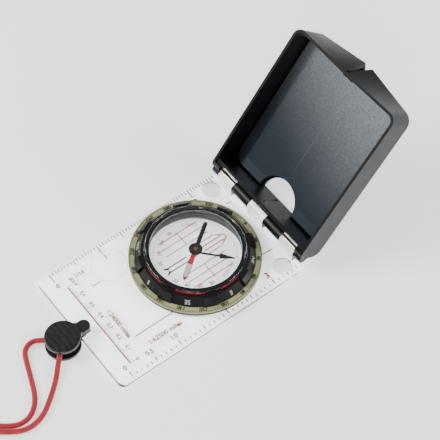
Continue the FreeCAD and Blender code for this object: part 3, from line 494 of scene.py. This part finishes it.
class Artwork:
    """Flat printing or marks gathered into one mesh, drawn in millimetres on a plane and then warped."""

    def __init__(self, name: str, body: str, slot: str) -> None:
        """Start an empty sheet.

        Args:
            name: the piece's name.
            body: the body it rides on.
            slot: the name of a material slot of the record; stored, but not used.
        """
        self.name = name
        self.body = body
        self.slot = slot
        self.mesh = bmesh.new()

    def polygon(self, corners: Sequence[Point]) -> None:
        """Add one filled outline."""
        self.mesh.faces.new([self.mesh.verts.new((x, y, 0)) for x, y in corners])

    def bar(self, start: Point, end: Point, width: float) -> None:
        """Add a straight line of a width."""
        along = Vector((end[0] - start[0], end[1] - start[1]))
        side = Vector((-along.y, along.x)).normalized() * width / 2
        self.polygon([(start[0] + side.x, start[1] + side.y), (start[0] - side.x, start[1] - side.y),
                      (end[0] - side.x, end[1] - side.y), (end[0] + side.x, end[1] + side.y)])

    def arc(self, inner: float, outer: float, first: float, last: float, step: float = 2.0) -> None:
        """Add a piece of a ring between two compass bearings in degrees."""
        count = max(2, round(abs(last - first) / step))
        for number in range(count):
            one = first + (last - first) * number / count
            two = first + (last - first) * (number + 1) / count
            self.polygon([at(inner, one), at(inner, two), at(outer, two), at(outer, one)])

    def ring(self, centre: Point, radius: float, width: float, steps: int = 72) -> None:
        """Add a thin ring round a point."""
        for number in range(steps):
            one = at(radius, 360 * number / steps)
            two = at(radius, 360 * (number + 1) / steps)
            self.bar((centre[0] + one[0], centre[1] + one[1]), (centre[0] + two[0], centre[1] + two[1]),
                     width)

    def pairs(self, strokes: Sequence[Stroke]) -> None:
        """Add lines, each a start, an end and a width, on both sides of the Y axis."""
        for side in (-1, 1):
            for start, end, width in strokes:
                self.bar((side * start[0], start[1]), (side * end[0], end[1]), width)

    def marks(self, layout: Layout, count: int, pitch: float, width: float, lengths: Place,
              every: tuple[int, int], move: Matrix) -> None:
        """Add a row or ring of graduation marks.

        Args:
            layout: a row along Y, or a ring whose radius is the pitch.
            count: how many marks.
            pitch: the distance from one to the next, or the ring's radius.
            width: each mark's width.
            lengths: the short, middle and long lengths.
            every: how many marks to a middle one and to a long one.
            move: where the set goes.
        """
        made = MarkSet(layout).build(count, pitch, width, lengths, every)
        made.transform(move)
        self.mesh.from_mesh(made)
        bpy.data.meshes.remove(made)

    def words(self, text: str, centre: Point, height: float, heading: float = 0.0, squeeze: float = 1.0,
              weight: float = 0.038) -> None:
        """Add lettering.

        Args:
            text: what it says.
            centre: where its middle goes.
            height: the capitals' height.
            heading: how far it is turned, anticlockwise, in degrees.
            squeeze: its width's share of the usual.
            weight: how far its strokes are thickened on each side, as a share of its size.
        """
        curve = bpy.data.curves.new(self.name + "_text", "FONT")
        curve.body = text
        curve.align_x = "CENTER"
        curve.align_y = "CENTER"
        curve.size = height / CAPITAL_SHARE
        curve.resolution_u = 3
        curve.offset = weight * curve.size
        holder = linked(curve.name, curve)
        made = meshed(holder)
        bpy.data.objects.remove(holder)
        bpy.data.curves.remove(curve)
        low = min((vertex.co.y for vertex in made.vertices), default=0.0)
        high = max((vertex.co.y for vertex in made.vertices), default=0.0)
        turn = Matrix.Rotation(math.radians(heading), 4, "Z")
        made.transform(Matrix.Translation((centre[0], centre[1], 0)) @ turn
                       @ Matrix.Diagonal((squeeze, 1, 1, 1)) @ Matrix.Translation((0, -(low + high) / 2, 0)))
        self.mesh.from_mesh(made)
        bpy.data.meshes.remove(made)

    def lay(self, warp: Warp, material: bpy.types.Material) -> bpy.types.Object:
        """Warp the sheet into place, make it a piece and let it ride.

        Args:
            warp: from the drawing plane to the object's frame, in millimetres.
            material: its finish.

        Returns:
            The piece.
        """
        for vertex in self.mesh.verts:
            vertex.co = warp(vertex.co) * MM
        mesh = bpy.data.meshes.new(self.name)
        self.mesh.to_mesh(mesh)
        self.mesh.free()
        mesh.materials.append(material)
        for polygon in mesh.polygons:
            polygon.material_index = 0
        piece = linked(self.name, mesh)
        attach(piece, self.body)
        LOG.info("%s: %d faces on %s", self.name, len(mesh.polygons), self.body)
        return piece


class MarkSet:
    """A node tree that lays out graduation marks in three lengths."""

    def __init__(self, layout: Layout) -> None:
        """Build the tree for a row or a ring."""
        self.layout = layout
        self.tree = bpy.data.node_groups.new("Marks_" + layout.value, "GeometryNodeTree")
        face = self.tree.interface
        for name, kind in (("Count", "Int"), ("Pitch", "Float"), ("Width", "Float"), ("Short", "Float"),
                           ("Middle", "Float"), ("Long", "Float"), ("Middle Every", "Int"),
                           ("Long Every", "Int"), ("Finish", "Material")):
            face.new_socket(name=name, in_out="INPUT", socket_type="NodeSocket" + kind)
        face.new_socket(name="Geometry", in_out="OUTPUT", socket_type="NodeSocketGeometry")
        self.wire()

    def wire(self) -> None:
        """Fill the tree with its nodes."""
        tree = self.tree
        given = add(tree, "NodeGroupInput").outputs
        index = add(tree, "GeometryNodeInputIndex").outputs[0]
        length = given["Short"]
        for every, longer in (("Middle Every", "Middle"), ("Long Every", "Long")):
            rest = add(tree, "ShaderNodeMath", links={0: index, 1: given[every]}, operation="MODULO")
            hit = add(tree, "ShaderNodeMath", {1: 0.5}, {0: rest.outputs[0]}, operation="LESS_THAN")
            pick = add(tree, "GeometryNodeSwitch", links={"Switch": hit.outputs[0], "False": length,
                                                          "True": given[longer]}, input_type="FLOAT")
            length = pick.outputs[0]
        bar = add(tree, "GeometryNodeMeshGrid", {
            "Size X": 1.0, "Size Y": 1.0, "Vertices X": 2, "Vertices Y": 2})
        seat = add(tree, "GeometryNodeTransform", {"Translation": (0.5, 0.0, 0.0)},
                   {"Geometry": bar.outputs[0]})
        size = add(tree, "ShaderNodeCombineXYZ", {"Z": 1.0}, {"X": length, "Y": given["Width"]})
        if self.layout is Layout.ROW:
            step = add(tree, "ShaderNodeCombineXYZ", links={"Y": given["Pitch"]})
            points = add(tree, "GeometryNodeMeshLine", links={"Count": given["Count"],
                                                              "Offset": step.outputs[0]})
            spin = add(tree, "ShaderNodeCombineXYZ")
        else:
            points = add(tree, "GeometryNodeMeshCircle", links={"Vertices": given["Count"],
                                                                "Radius": given["Pitch"]})
            part = add(tree, "ShaderNodeMath", links={0: index, 1: given["Count"]}, operation="DIVIDE")
            angle = add(tree, "ShaderNodeMath", {1: 2 * math.pi}, {0: part.outputs[0]},
                        operation="MULTIPLY")
            spin = add(tree, "ShaderNodeCombineXYZ", links={"Z": angle.outputs[0]})
        copies = add(tree, "GeometryNodeInstanceOnPoints", links={
            "Points": points.outputs[0], "Instance": seat.outputs[0], "Rotation": spin.outputs[0],
            "Scale": size.outputs[0]})
        real = add(tree, "GeometryNodeRealizeInstances", links={0: copies.outputs[0]})
        inked = add(tree, "GeometryNodeSetMaterial", links={"Geometry": real.outputs[0],
                                                            "Material": given["Finish"]})
        add(tree, "NodeGroupOutput", links={0: inked.outputs[0]})

    def build(self, count: int, pitch: float, width: float, lengths: Place,
              every: tuple[int, int]) -> bpy.types.Mesh:
        """Run the tree once and return its mesh."""
        holder = linked("marks", bpy.data.meshes.new("marks"))
        modifier = holder.modifiers.new("Marks", "NODES")
        modifier.node_group = self.tree
        values = {"Count": count, "Pitch": pitch, "Width": width, "Short": lengths[0],
                  "Middle": lengths[1], "Long": lengths[2], "Middle Every": every[0],
                  "Long Every": every[1]}
        for item in self.tree.interface.items_tree:
            if item.in_out == "INPUT" and item.name in values:
                modifier[item.identifier] = values[item.name]
        made = meshed(holder)
        made.materials.clear()
        holder.modifiers.remove(modifier)
        bpy.data.objects.remove(holder)
        return made


def at(radius: float, bearing: float) -> Point:
    """Return the point at a radius and a compass bearing in degrees, north along +Y."""
    angle = math.radians(bearing)
    return (radius * math.sin(angle), radius * math.cos(angle))


@dataclass(frozen=True)
class Ruler:
    """A graduated long edge of the plate, in millimetres from the dial's centre."""

    side: int
    tick: float
    zero: float
    unit: float
    parts: int
    count: int
    lengths: Point
    every: tuple[int, int]
    label_gap: float
    label_drop: float
    labels: tuple[tuple[float, str, float], ...]
    title: str
    title_at: Point
    title_height: float

    def draw(self, art: Artwork, edge: float, line: float) -> None:
        """Draw the ruler.

        Args:
            art: the sheet it goes on.
            edge: how far from the middle its ticks start.
            line: the ticks' width.
        """
        art.marks(Layout.ROW, self.count, self.unit / self.parts, line, (*self.lengths, edge - self.tick),
                  self.every, Matrix.Translation((self.side * edge, self.zero, 0))
                  @ Matrix.Diagonal((-self.side, 1, 1, 1)))
        for units, label, height in self.labels:
            art.words(label, (self.side * (self.tick - self.label_gap),
                              self.zero + units * self.unit - self.label_drop), height, 90)
        art.words(self.title, self.title_at, self.title_height, 90)


MILES = Ruler(1, 28.6, -56.9, 25.75, 10, 36, (1.3, 2.0), (5, 10), 2.4, 0.4,
              ((0, "0", 2.2), (0.5, "0.5", 2.2), (1, "1.0", 2.2), (2, "2", 3.0), (3, "3", 3.0)),
              "1:62500 miles", (22.4, -33.4), 2.2)
INCHES = Ruler(-1, 26.4, -57.1, 25.4, 16, 58, (1.8, 3.2), (8, 16), 2.2, 0.0,
               ((0, "0", 2.2), (1, "1", 2.6), (2, "2", 2.6), (3, "3", 3.0)),
               "in 1/16", (-24.0, -47.5), 2.0)


@dataclass
class Plate:
    """The clear baseplate and everything printed on it."""

    ring_above_plate: float = 1.56
    edge_gap: float = 1.0
    front_line: float = -54.15
    front_zero: float = 25.7
    front_step: float = 6.7056
    front_steps: int = 7
    front_lengths: Place = (0.9, 1.3, 2.2)
    front_label: Point = (3.7, 1.7)
    front_title: Place = (7.0, 7.4, 2.1)
    side_lines: tuple[tuple[Point, Point], ...] = (((16.4, -45.0), (16.4, -23.3)),
                                                   ((-15.1, -45.0), (-15.1, -41.0)))
    index_lines: tuple[tuple[Point, Point], ...] = (((-14.8, 28.9), (-14.7, 32.4)),
                                                    ((16.4, 25.2), (16.7, 30.6)))
    lens_centre: Point = (-20.0, -33.0)
    lens_radius: float = 8.35
    lens_line: float = 0.16
    film: float = 0.02
    line: float = 0.55

    def dress(self) -> None:
        """Give the plate, its pads and its printing their finishes."""
        cover("baseplate", ACRYLIC)
        cover("foot_left", SILICONE)
        cover("foot_right", SILICONE)
        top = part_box("scale_ring")[0][2] / MM - self.ring_above_plate + self.film
        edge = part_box("baseplate")[1][0] / MM - self.edge_gap
        art = Artwork("plate_scales", "base", "clear_acrylic")
        for ruler in (MILES, INCHES):
            ruler.draw(art, edge, self.line)
        self.draw_front_scale(art)
        for start, end in self.side_lines:
            art.bar(start, end, self.line)
        art.lay(flat_at(top), RED_INK.make())
        marks = Artwork("plate_index_lines", "base", "clear_acrylic")
        for start, end in self.index_lines:
            marks.bar(start, end, self.line)
        marks.ring(self.lens_centre, self.lens_radius, self.lens_line)
        marks.lay(flat_at(top), GREY_INK.make())

    def draw_front_scale(self, art: Artwork) -> None:
        """Draw the fine map scale across the front."""
        span = self.front_steps * self.front_step
        art.bar((self.front_zero, self.front_line), (self.front_zero - span, self.front_line), self.line)
        art.marks(Layout.ROW, self.front_steps * 10 + 1, self.front_step / 10, self.line * 0.5,
                  self.front_lengths, (5, 10), Matrix.Translation((self.front_zero, self.front_line, 0))
                  @ Matrix.Rotation(math.pi / 2, 4, "Z"))
        rise, height = self.front_label
        for tenth in range(self.front_steps + 1):
            label = "0" if tenth == 0 else "0.%d" % tenth
            art.words(label, (self.front_zero - tenth * self.front_step, self.front_line + rise), height)
        across, rise, height = self.front_title
        art.words("1:24000 miles", (across, self.front_line + rise), height)


@dataclass
class Dial:
    """The bezel, its degree ring, the capsule and the printing under the needle."""

    film: float = 0.02
    scale_inner: float = 27.0
    degree_ticks: Place = (-0.8, -0.9, -1.0)
    degree_line: float = 0.36
    degree_inset: float = 0.32
    tick_inset: float = 0.1
    pointer_reach: float = 0.9
    pointer_spread: float = 1.9
    letters_top: Point = (24.6, 9.0)
    ring_wall: float = 1.3
    ring_ticks: Place = (0.8, 1.1, 1.4)
    ring_foot: float = 0.3
    fine_line: float = 0.16
    meridians: tuple[float, ...] = (6.4, 10.0, 13.6)
    meridian_half: float = 11.6
    meridian_reach: float = 17.4
    meridian_line: float = 0.44
    red_strokes: tuple[Stroke, ...] = (((6.8, 0), (14.8, 0), 0.4), ((1.15, 4.0), (1.15, 15.2), 0.55),
                                       ((3.0, 12.8), (0.9, 16.8), 0.55))
    arrow_tip: Stroke = ((-1.0, 16.75), (1.0, 16.75), 0.55)
    black_strokes: tuple[Stroke, ...] = (((1.15, -4.0), (1.15, -15.4), 0.6),
                                         ((1.9, -16.2), (0.4, -14.3), 0.8))
    dashes: tuple[Stroke, ...] = (((3.4, 5.0), (3.4, 12.4), 0.7),)
    declination_radius: float = 19.2
    declination_ticks: Place = (-0.7, -0.7, -1.1)
    declination_line: float = 0.25
    number_radius: float = 16.1
    titles: tuple[tuple[str, float], ...] = (("E DECL", -62), ("W DECL", 66))
    title_radius: float = 16.4
    # the painted red reflection: the bearings of each arc, its height up the crystal's wall, and its drop
    # below the bezel's top
    arcs: tuple[Point, ...] = ((167, 194), (117, 150), (72, 99))
    arc_height: float = 1.1
    arc_drop: float = 0.15

    def dress(self) -> None:
        """Give the dial's pieces their finishes, its printing and its painted red reflection."""
        for node, finish in (("bezel_ring", BEZEL_ABS), ("scale_ring", OLIVE_LUME),
                             ("retaining_ring", SPRING), ("capsule_base", CAPSULE),
                             ("capsule_crystal", CAPSULE), ("capsule_seal", SEAL),
                             ("inner_ring", RING_ABS), ("pivot_pin", SPRING),
                             ("orienting_disc", DISC_FILM), ("declination_screw", BRASS),
                             ("clinometer_pointer", POINTER),
                             ("clinometer_bush", BRASS), ("needle_blade", NEEDLE), ("needle_lume", LUME),
                             ("needle_hub", HUB), ("needle_jewel", GARNET)):
            cover(node, finish)
        self.print_degrees()
        self.print_letters()
        self.print_inner_ring()
        self.print_disc()
        self.print_base()

    def print_degrees(self) -> None:
        """Print the degree scale on the olive ring."""
        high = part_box("scale_ring")[1]
        outer = high[0] / MM
        art = Artwork("degree_scale", "dial", "olive_print")
        art.marks(Layout.RING, 180, outer - self.tick_inset, self.degree_line, self.degree_ticks, (5, 10),
                  Matrix())
        for degree in range(20, 360, 20):
            place = at((self.scale_inner + outer) / 2 - self.degree_inset, degree)
            art.words(str(degree), place, 1.6, -degree, 1.1, 0.045)
        reach = outer - self.pointer_reach
        art.polygon([at(reach, -self.pointer_spread), at(reach, self.pointer_spread),
                     at(self.scale_inner + self.tick_inset, 0)])
        art.lay(flat_at(high[2] / MM + self.film), BLACK_INK.make())

    def print_letters(self) -> None:
        """Print the cardinal letters on the bezel's slope."""
        low = (self.scale_inner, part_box("scale_ring")[1][2] / MM)
        high = self.letters_top
        lean = math.atan2(high[1] - low[1], low[0] - high[0])
        lift = (math.sin(lean) * self.film * 2, math.cos(lean) * self.film * 2)
        art = Artwork("bezel_letters", "dial", "black_plastic")
        for number, name in enumerate(("N", "NE", "E", "SE", "S", "SW", "W", "NW")):
            art.words(name, at((low[0] + high[0]) / 2, number * 45), 2.1, -number * 45, 0.95, 0.0)
        art.lay(on_cone((low[0] + lift[0], low[1] + lift[1]), (high[0] + lift[0], high[1] + lift[1])),
                WHITE_INK.make())

    def print_inner_ring(self) -> None:
        """Print the fine graduation on the wall of the dark ring inside the crystal."""
        low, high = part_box("inner_ring")
        inner = high[0] / MM - self.ring_wall
        art = Artwork("inner_graduation", "dial", "black_plastic")
        art.marks(Layout.RING, 180, inner, self.fine_line, self.ring_ticks, (5, 10), Matrix())
        art.lay(on_wall(inner, low[2] / MM + self.ring_foot, inner - self.film), GREY_INK.make())

    def print_disc(self) -> None:
        """Print the lines and arrows that turn for declination."""
        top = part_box("orienting_disc")[1][2] / MM + self.film
        red = Artwork("meridian_lines", "orienting", "capsule_clear")
        for across in self.meridians:
            half = min(self.meridian_half, math.sqrt(self.meridian_reach ** 2 - across ** 2))
            red.pairs([((across, -half), (across, half), self.meridian_line)])
        red.pairs(self.red_strokes)
        red.bar(*self.arrow_tip)
        red.lay(flat_at(top), RED_INK.make())
        for name, slot, strokes, finish in (
                ("south_lines", "capsule_clear", self.black_strokes, BLACK_INK),
                ("luminous_dashes", "luminous", self.dashes, LUME)):
            art = Artwork(name, "orienting", slot)
            art.pairs(strokes)
            art.lay(flat_at(top), finish.make())

    def print_base(self) -> None:
        """Print the declination scale on the capsule's base, and paint red arcs on the crystal's wall at its
        foot: a painted reflection.
        """
        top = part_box("capsule_base")[1][2] / MM + self.film
        fine = Artwork("declination_scale", "dial", "capsule_clear")
        fine.marks(Layout.RING, 72, self.declination_radius, self.declination_line,
                   self.declination_ticks, (2, 10), Matrix())
        for side in (-1, 1):
            for degree in (80, 60, 40, 20):
                fine.words(str(degree), at(self.number_radius, 180 - side * degree), 1.7,
                           side * degree)
        for label, bearing in self.titles:
            fine.words(label, at(self.title_radius, bearing), 1.6, -bearing, weight=0.01)
        fine.lay(flat_at(top), PINK_INK.make())
        red_reflection = Artwork("painted_reflection_arcs", "dial", "capsule_clear")
        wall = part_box("capsule_crystal")[1][0] / MM
        for first, last in self.arcs:
            red_reflection.arc(wall, wall + self.arc_height, first, last)
        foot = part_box("bezel_ring")[1][2] / MM - self.arc_drop
        red_reflection.lay(on_wall(wall, foot, wall + self.film), RED_REFLECTION_PAINT.make())


@dataclass
class Lid:
    """The black lid with its mirror, tapes and hinge pins."""

    sight_start: float = 21.0
    sight_end: float = 72.5
    sight_width: float = 0.16
    mirror_face: float = -6.1
    film: float = 0.02

    def dress(self) -> None:
        """Give the lid's pieces their finishes and draw the sight line."""
        for node, finish in (("lid_shell", BLACK_ABS), ("mirror", MIRROR), ("mirror_tape_left", FOAM),
                             ("mirror_tape_right", FOAM), ("hinge_pin_left", STEEL),
                             ("hinge_pin_right", STEEL)):
            cover(node, finish)
        art = Artwork("sight_line", "lid", "mirror_glass")
        art.bar((0, self.sight_start), (0, self.sight_end), self.sight_width)
        art.lay(in_lid(self.mirror_face + self.film), SIGHT_INK.make())


@dataclass
class Lanyard:
    """The clip and the braided cord: two strands that run into one flat coil of two layers."""

    diameter: float = 2.4
    centre: Point = (16.8, -141.8)
    pitch: float = 2.45
    lower: float = 1.2
    upper: float = 3.6
    lower_turns: float = 3.5
    upper_turns: float = 2.0
    points_per_turn: int = 14
    strand_a: tuple[Place, ...] = (
        (-2.0, -73.25, 3.7), (-5.6, -77.5, 3.2), (-8.9, -81.6, 1.5), (-7.2, -86.2, 1.2),
        (-1.6, -88.6, 1.2), (5.8, -91.3, 1.2), (14.8, -94.9, 1.2), (20.4, -100.4, 1.2),
        (21.2, -107.0, 1.2), (17.6, -112.6, 1.2), (9.9, -121.2, 1.2), (2.8, -129.8, 1.25))
    strand_b: tuple[Place, ...] = (
        (2.1, -73.1, 3.7), (6.4, -77.7, 2.7), (12.4, -83.0, 1.2), (18.6, -90.1, 1.2),
        (24.0, -97.9, 1.2), (24.9, -106.0, 1.2), (20.4, -113.4, 1.2), (12.4, -122.6, 1.6),
        (4.8, -131.5, 3.6))
    lobe_radius: float = 5.0
    lobe_steps: int = 9
    rise: tuple[float, float] = (0.2, 0.7)

    def coil(self, start: Place, turns: float, height: float) -> list[Vector]:
        """Return the points of one layer of the coil, from outside to inside.

        Args:
            start: where the strand comes in.
            turns: how many turns it makes.
            height: its height in millimetres.

        Returns:
            The points after the start, in millimetres.
        """
        reach = math.hypot(start[0] - self.centre[0], start[1] - self.centre[1])
        first = math.atan2(start[1] - self.centre[1], start[0] - self.centre[0])
        count = round(turns * self.points_per_turn)
        points = []
        for number in range(1, count + 1):
            share = number / self.points_per_turn
            radius = reach - self.pitch * share
            angle = first + 2 * math.pi * share
            points.append(Vector((self.centre[0] + radius * math.cos(angle),
                                  self.centre[1] + radius * math.sin(angle), height)))
        return points

    def route(self) -> list[Vector]:
        """Return the whole cord's control points in millimetres."""
        inward = [Vector(point) for point in self.strand_a]
        inward += self.coil(self.strand_a[-1], self.lower_turns, self.lower)
        outward = [Vector(point) for point in self.strand_b]
        outward += self.coil(self.strand_b[-1], self.upper_turns, self.upper)
        return inward + self.bight(inward[-1], outward[-1]) + outward[::-1]

    def bight(self, inner: Vector, outer: Vector) -> list[Vector]:
        """Return the two round lobes that turn the cord back through the coil's middle.

        Args:
            inner: the lower layer's last point.
            outer: the upper layer's last point, across the coil from it.

        Returns:
            The points between them, in millimetres.
        """
        middle = Vector((*self.centre, 0.0))
        first = (inner - middle).xy
        facing = first.normalized()
        beside = Vector((-facing.y, facing.x))
        crossing = first.length - 2 * self.lobe_radius
        second_radius = ((outer - middle).xy.length + crossing) / 2
        points = []
        for number in range(1, 2 * self.lobe_steps):
            share = number / (2 * self.lobe_steps)
            angle = 2 * math.pi * share
            if share <= 0.5:
                along = crossing + self.lobe_radius * (1 + math.cos(angle))
                across = self.lobe_radius * math.sin(angle)
            else:
                along = crossing - second_radius * (1 + math.cos(angle))
                across = second_radius * math.sin(angle)
            lift = min(1.0, max(0.0, (share - self.rise[0]) / (self.rise[1] - self.rise[0])))
            flat = middle.xy + facing * along + beside * across
            points.append(Vector((flat.x, flat.y, self.lower + (self.upper - self.lower) * lift)))
        return points

    def line(self) -> list[Vector]:
        """Return closely spaced points along the cord's smooth line, in metres."""
        curve = bpy.data.curves.new("cord_line", "CURVE")
        curve.dimensions = "3D"
        spline = curve.splines.new("NURBS")
        points = self.route()
        spline.points.add(len(points) - 1)
        for knot, point in zip(spline.points, points):
            knot.co = (*(point * MM), 1.0)
        spline.order_u = 3
        spline.use_endpoint_u = True
        spline.resolution_u = 8
        holder = linked("cord_line", curve)
        made = meshed(holder)
        found = [vertex.co.copy() for vertex in made.vertices]
        bpy.data.objects.remove(holder)
        bpy.data.meshes.remove(made)
        return found

    def tube(self, line: list[Vector], sides: int = 14) -> bpy.types.Object:
        """Build the cord's round tube with a map of its length and its turn.

        Args:
            line: the points it follows.
            sides: faces around it.

        Returns:
            The piece.
        """
        mesh = bmesh.new()
        chart = mesh.loops.layers.uv.new("Cord")
        radius = self.diameter / 2 * MM
        travelled = 0.0
        side = Vector((0, 0, 1))
        rings = []
        for number, point in enumerate(line):
            before = line[max(0, number - 1)]
            after = line[min(len(line) - 1, number + 1)]
            along = (after - before).normalized()
            side = (side - along * side.dot(along)).normalized()
            across = along.cross(side)
            travelled += (point - before).length
            ring = []
            for step in range(sides):
                angle = 2 * math.pi * step / sides
                outward = side * math.cos(angle) + across * math.sin(angle)
                ring.append(mesh.verts.new(point + outward * radius))
            rings.append((ring, travelled))
        for (one, start), (two, end) in zip(rings, rings[1:]):
            for step in range(sides):
                follower = (step + 1) % sides
                face = mesh.faces.new([one[step], one[follower], two[follower], two[step]])
                face.smooth = True
                charted = ((start, step), (start, step + 1), (end, step + 1), (end, step))
                for loop, (u, v) in zip(face.loops, charted):
                    loop[chart].uv = (u, v / sides)
        mesh.faces.new(rings[0][0][::-1])
        mesh.faces.new(rings[-1][0])
        bmesh.ops.recalc_face_normals(mesh, faces=mesh.faces)
        data = bpy.data.meshes.new("braided_cord")
        mesh.to_mesh(data)
        mesh.free()
        return linked("braided_cord", data)

    def dress(self) -> None:
        """Give the clip its finish, and replace the plain strands and coil with the cord."""
        cover("clip_cap", CLIP_NYLON)
        cover("clip_base", CLIP_NYLON)
        line = self.line()
        piece = self.tube(line)
        piece.data.materials.append(BRAID.make())
        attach(piece, "base")
        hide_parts("cord_strand_a", "cord_strand_b", "cord_coil")


FINISHED: dict[str, bpy.types.Material] = {}


def cover(node: str, finish: Finish) -> None:
    """Put a finish on a CAD node.

    Args:
        node: the node's name.
        finish: what it is made of.
    """
    if finish.name not in FINISHED:
        FINISHED[finish.name] = finish.make()
    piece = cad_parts[node]
    for slot in piece.material_slots:
        slot.material = FINISHED[finish.name]


@dataclass
class Studio:
    """A pale floor, soft lights and the camera."""

    azimuth: float = 49.11
    elevation: float = 55.78
    roll: float = 3.607
    distance: float = 645.2
    aim: Place = (-11.03, 22.71, 0.0)
    lens: float = 115.7
    sensor_mm: float = 36.0
    near_m: float = 0.01
    glow: float = 0.8
    floor_half_m: float = 3.0
    floor_drop_mm: float = 0.05
    sky: tuple[str, float] = ("F4F6F8", 0.35)
    lamps: tuple[tuple[str, Place, float, float], ...] = (
        ("key", (-460, -530, 640), 420, 9.0), ("fill", (520, 600, 640), 420, 6.0),
        ("front", (620, -640, 900), 500, 5.0))

    def build(self) -> None:
        """Set up the floor, the lights, the sky and the camera."""
        self.lay_floor()
        for name, position, size, power in self.lamps:
            self.light(name, position, size, power)
        world = bpy.data.worlds.new("studio")
        bpy.context.scene.world = world
        world.use_nodes = True
        sky = world.node_tree.nodes["Background"].inputs
        sky["Color"].default_value = linear(self.sky[0])
        sky["Strength"].default_value = self.sky[1]
        self.place_camera()

    def lay_floor(self) -> None:
        """Lay a pale seamless floor just under the object."""
        mesh = bpy.data.meshes.new("floor")
        half = self.floor_half_m
        height = -self.floor_drop_mm * MM
        mesh.from_pydata([(-half, -half, height), (half, -half, height), (half, half, height),
                          (-half, half, height)], [], [(0, 1, 2, 3)])
        floor = linked("floor", mesh)
        mesh.materials.append(LitPaper("lit_paper_floor", "FBFBFB", "FFFFFF", self.glow).make())

    def light(self, name: str, position: Place, size: float, power: float) -> None:
        """Hang a square soft light that looks at the object.

        Args:
            name: its name.
            position: where it hangs, in millimetres.
            size: its side, in millimetres.
            power: its power in watts.
        """
        lamp = bpy.data.lights.new(name, "AREA")
        lamp.size = size * MM
        lamp.energy = power
        holder = linked(name, lamp)
        holder.location = Vector(position) * MM
        holder.rotation_euler = (-holder.location).to_track_quat("-Z", "Y").to_euler()

    def place_camera(self) -> None:
        """Put the camera at the studio's viewing angle."""
        around = math.radians(self.azimuth)
        above = math.radians(self.elevation)
        level = math.cos(above)
        back = Vector((math.sin(around) * level, -math.cos(around) * level, math.sin(above)))
        right = (-back).cross(Vector((0, 0, 1))).normalized()
        up = right.cross(-back)
        lean = math.radians(self.roll)
        tilted_right = right * math.cos(lean) + up * math.sin(lean)
        tilted_up = up * math.cos(lean) - right * math.sin(lean)
        camera = bpy.data.cameras.new("camera")
        camera.lens = self.lens
        camera.sensor_width = self.sensor_mm
        camera.clip_start = self.near_m
        holder = linked("camera", camera)
        turn = Matrix((tilted_right, tilted_up, back)).transposed().to_4x4()
        place = (Vector(self.aim) + back * self.distance) * MM
        holder.matrix_world = Matrix.Translation(place) @ turn
        bpy.context.scene.camera = holder


def main() -> None:
    """Build every sub-assembly in order and note the sizes."""
    logging.basicConfig(level=logging.INFO, format="%(name)s: %(message)s")
    Studio().build()
    for assembly in (Plate(), Dial(), Lid(), Lanyard()):
        assembly.dress()
        LOG.info("%s dressed", type(assembly).__name__)


if __name__ == "__main__":
    main()
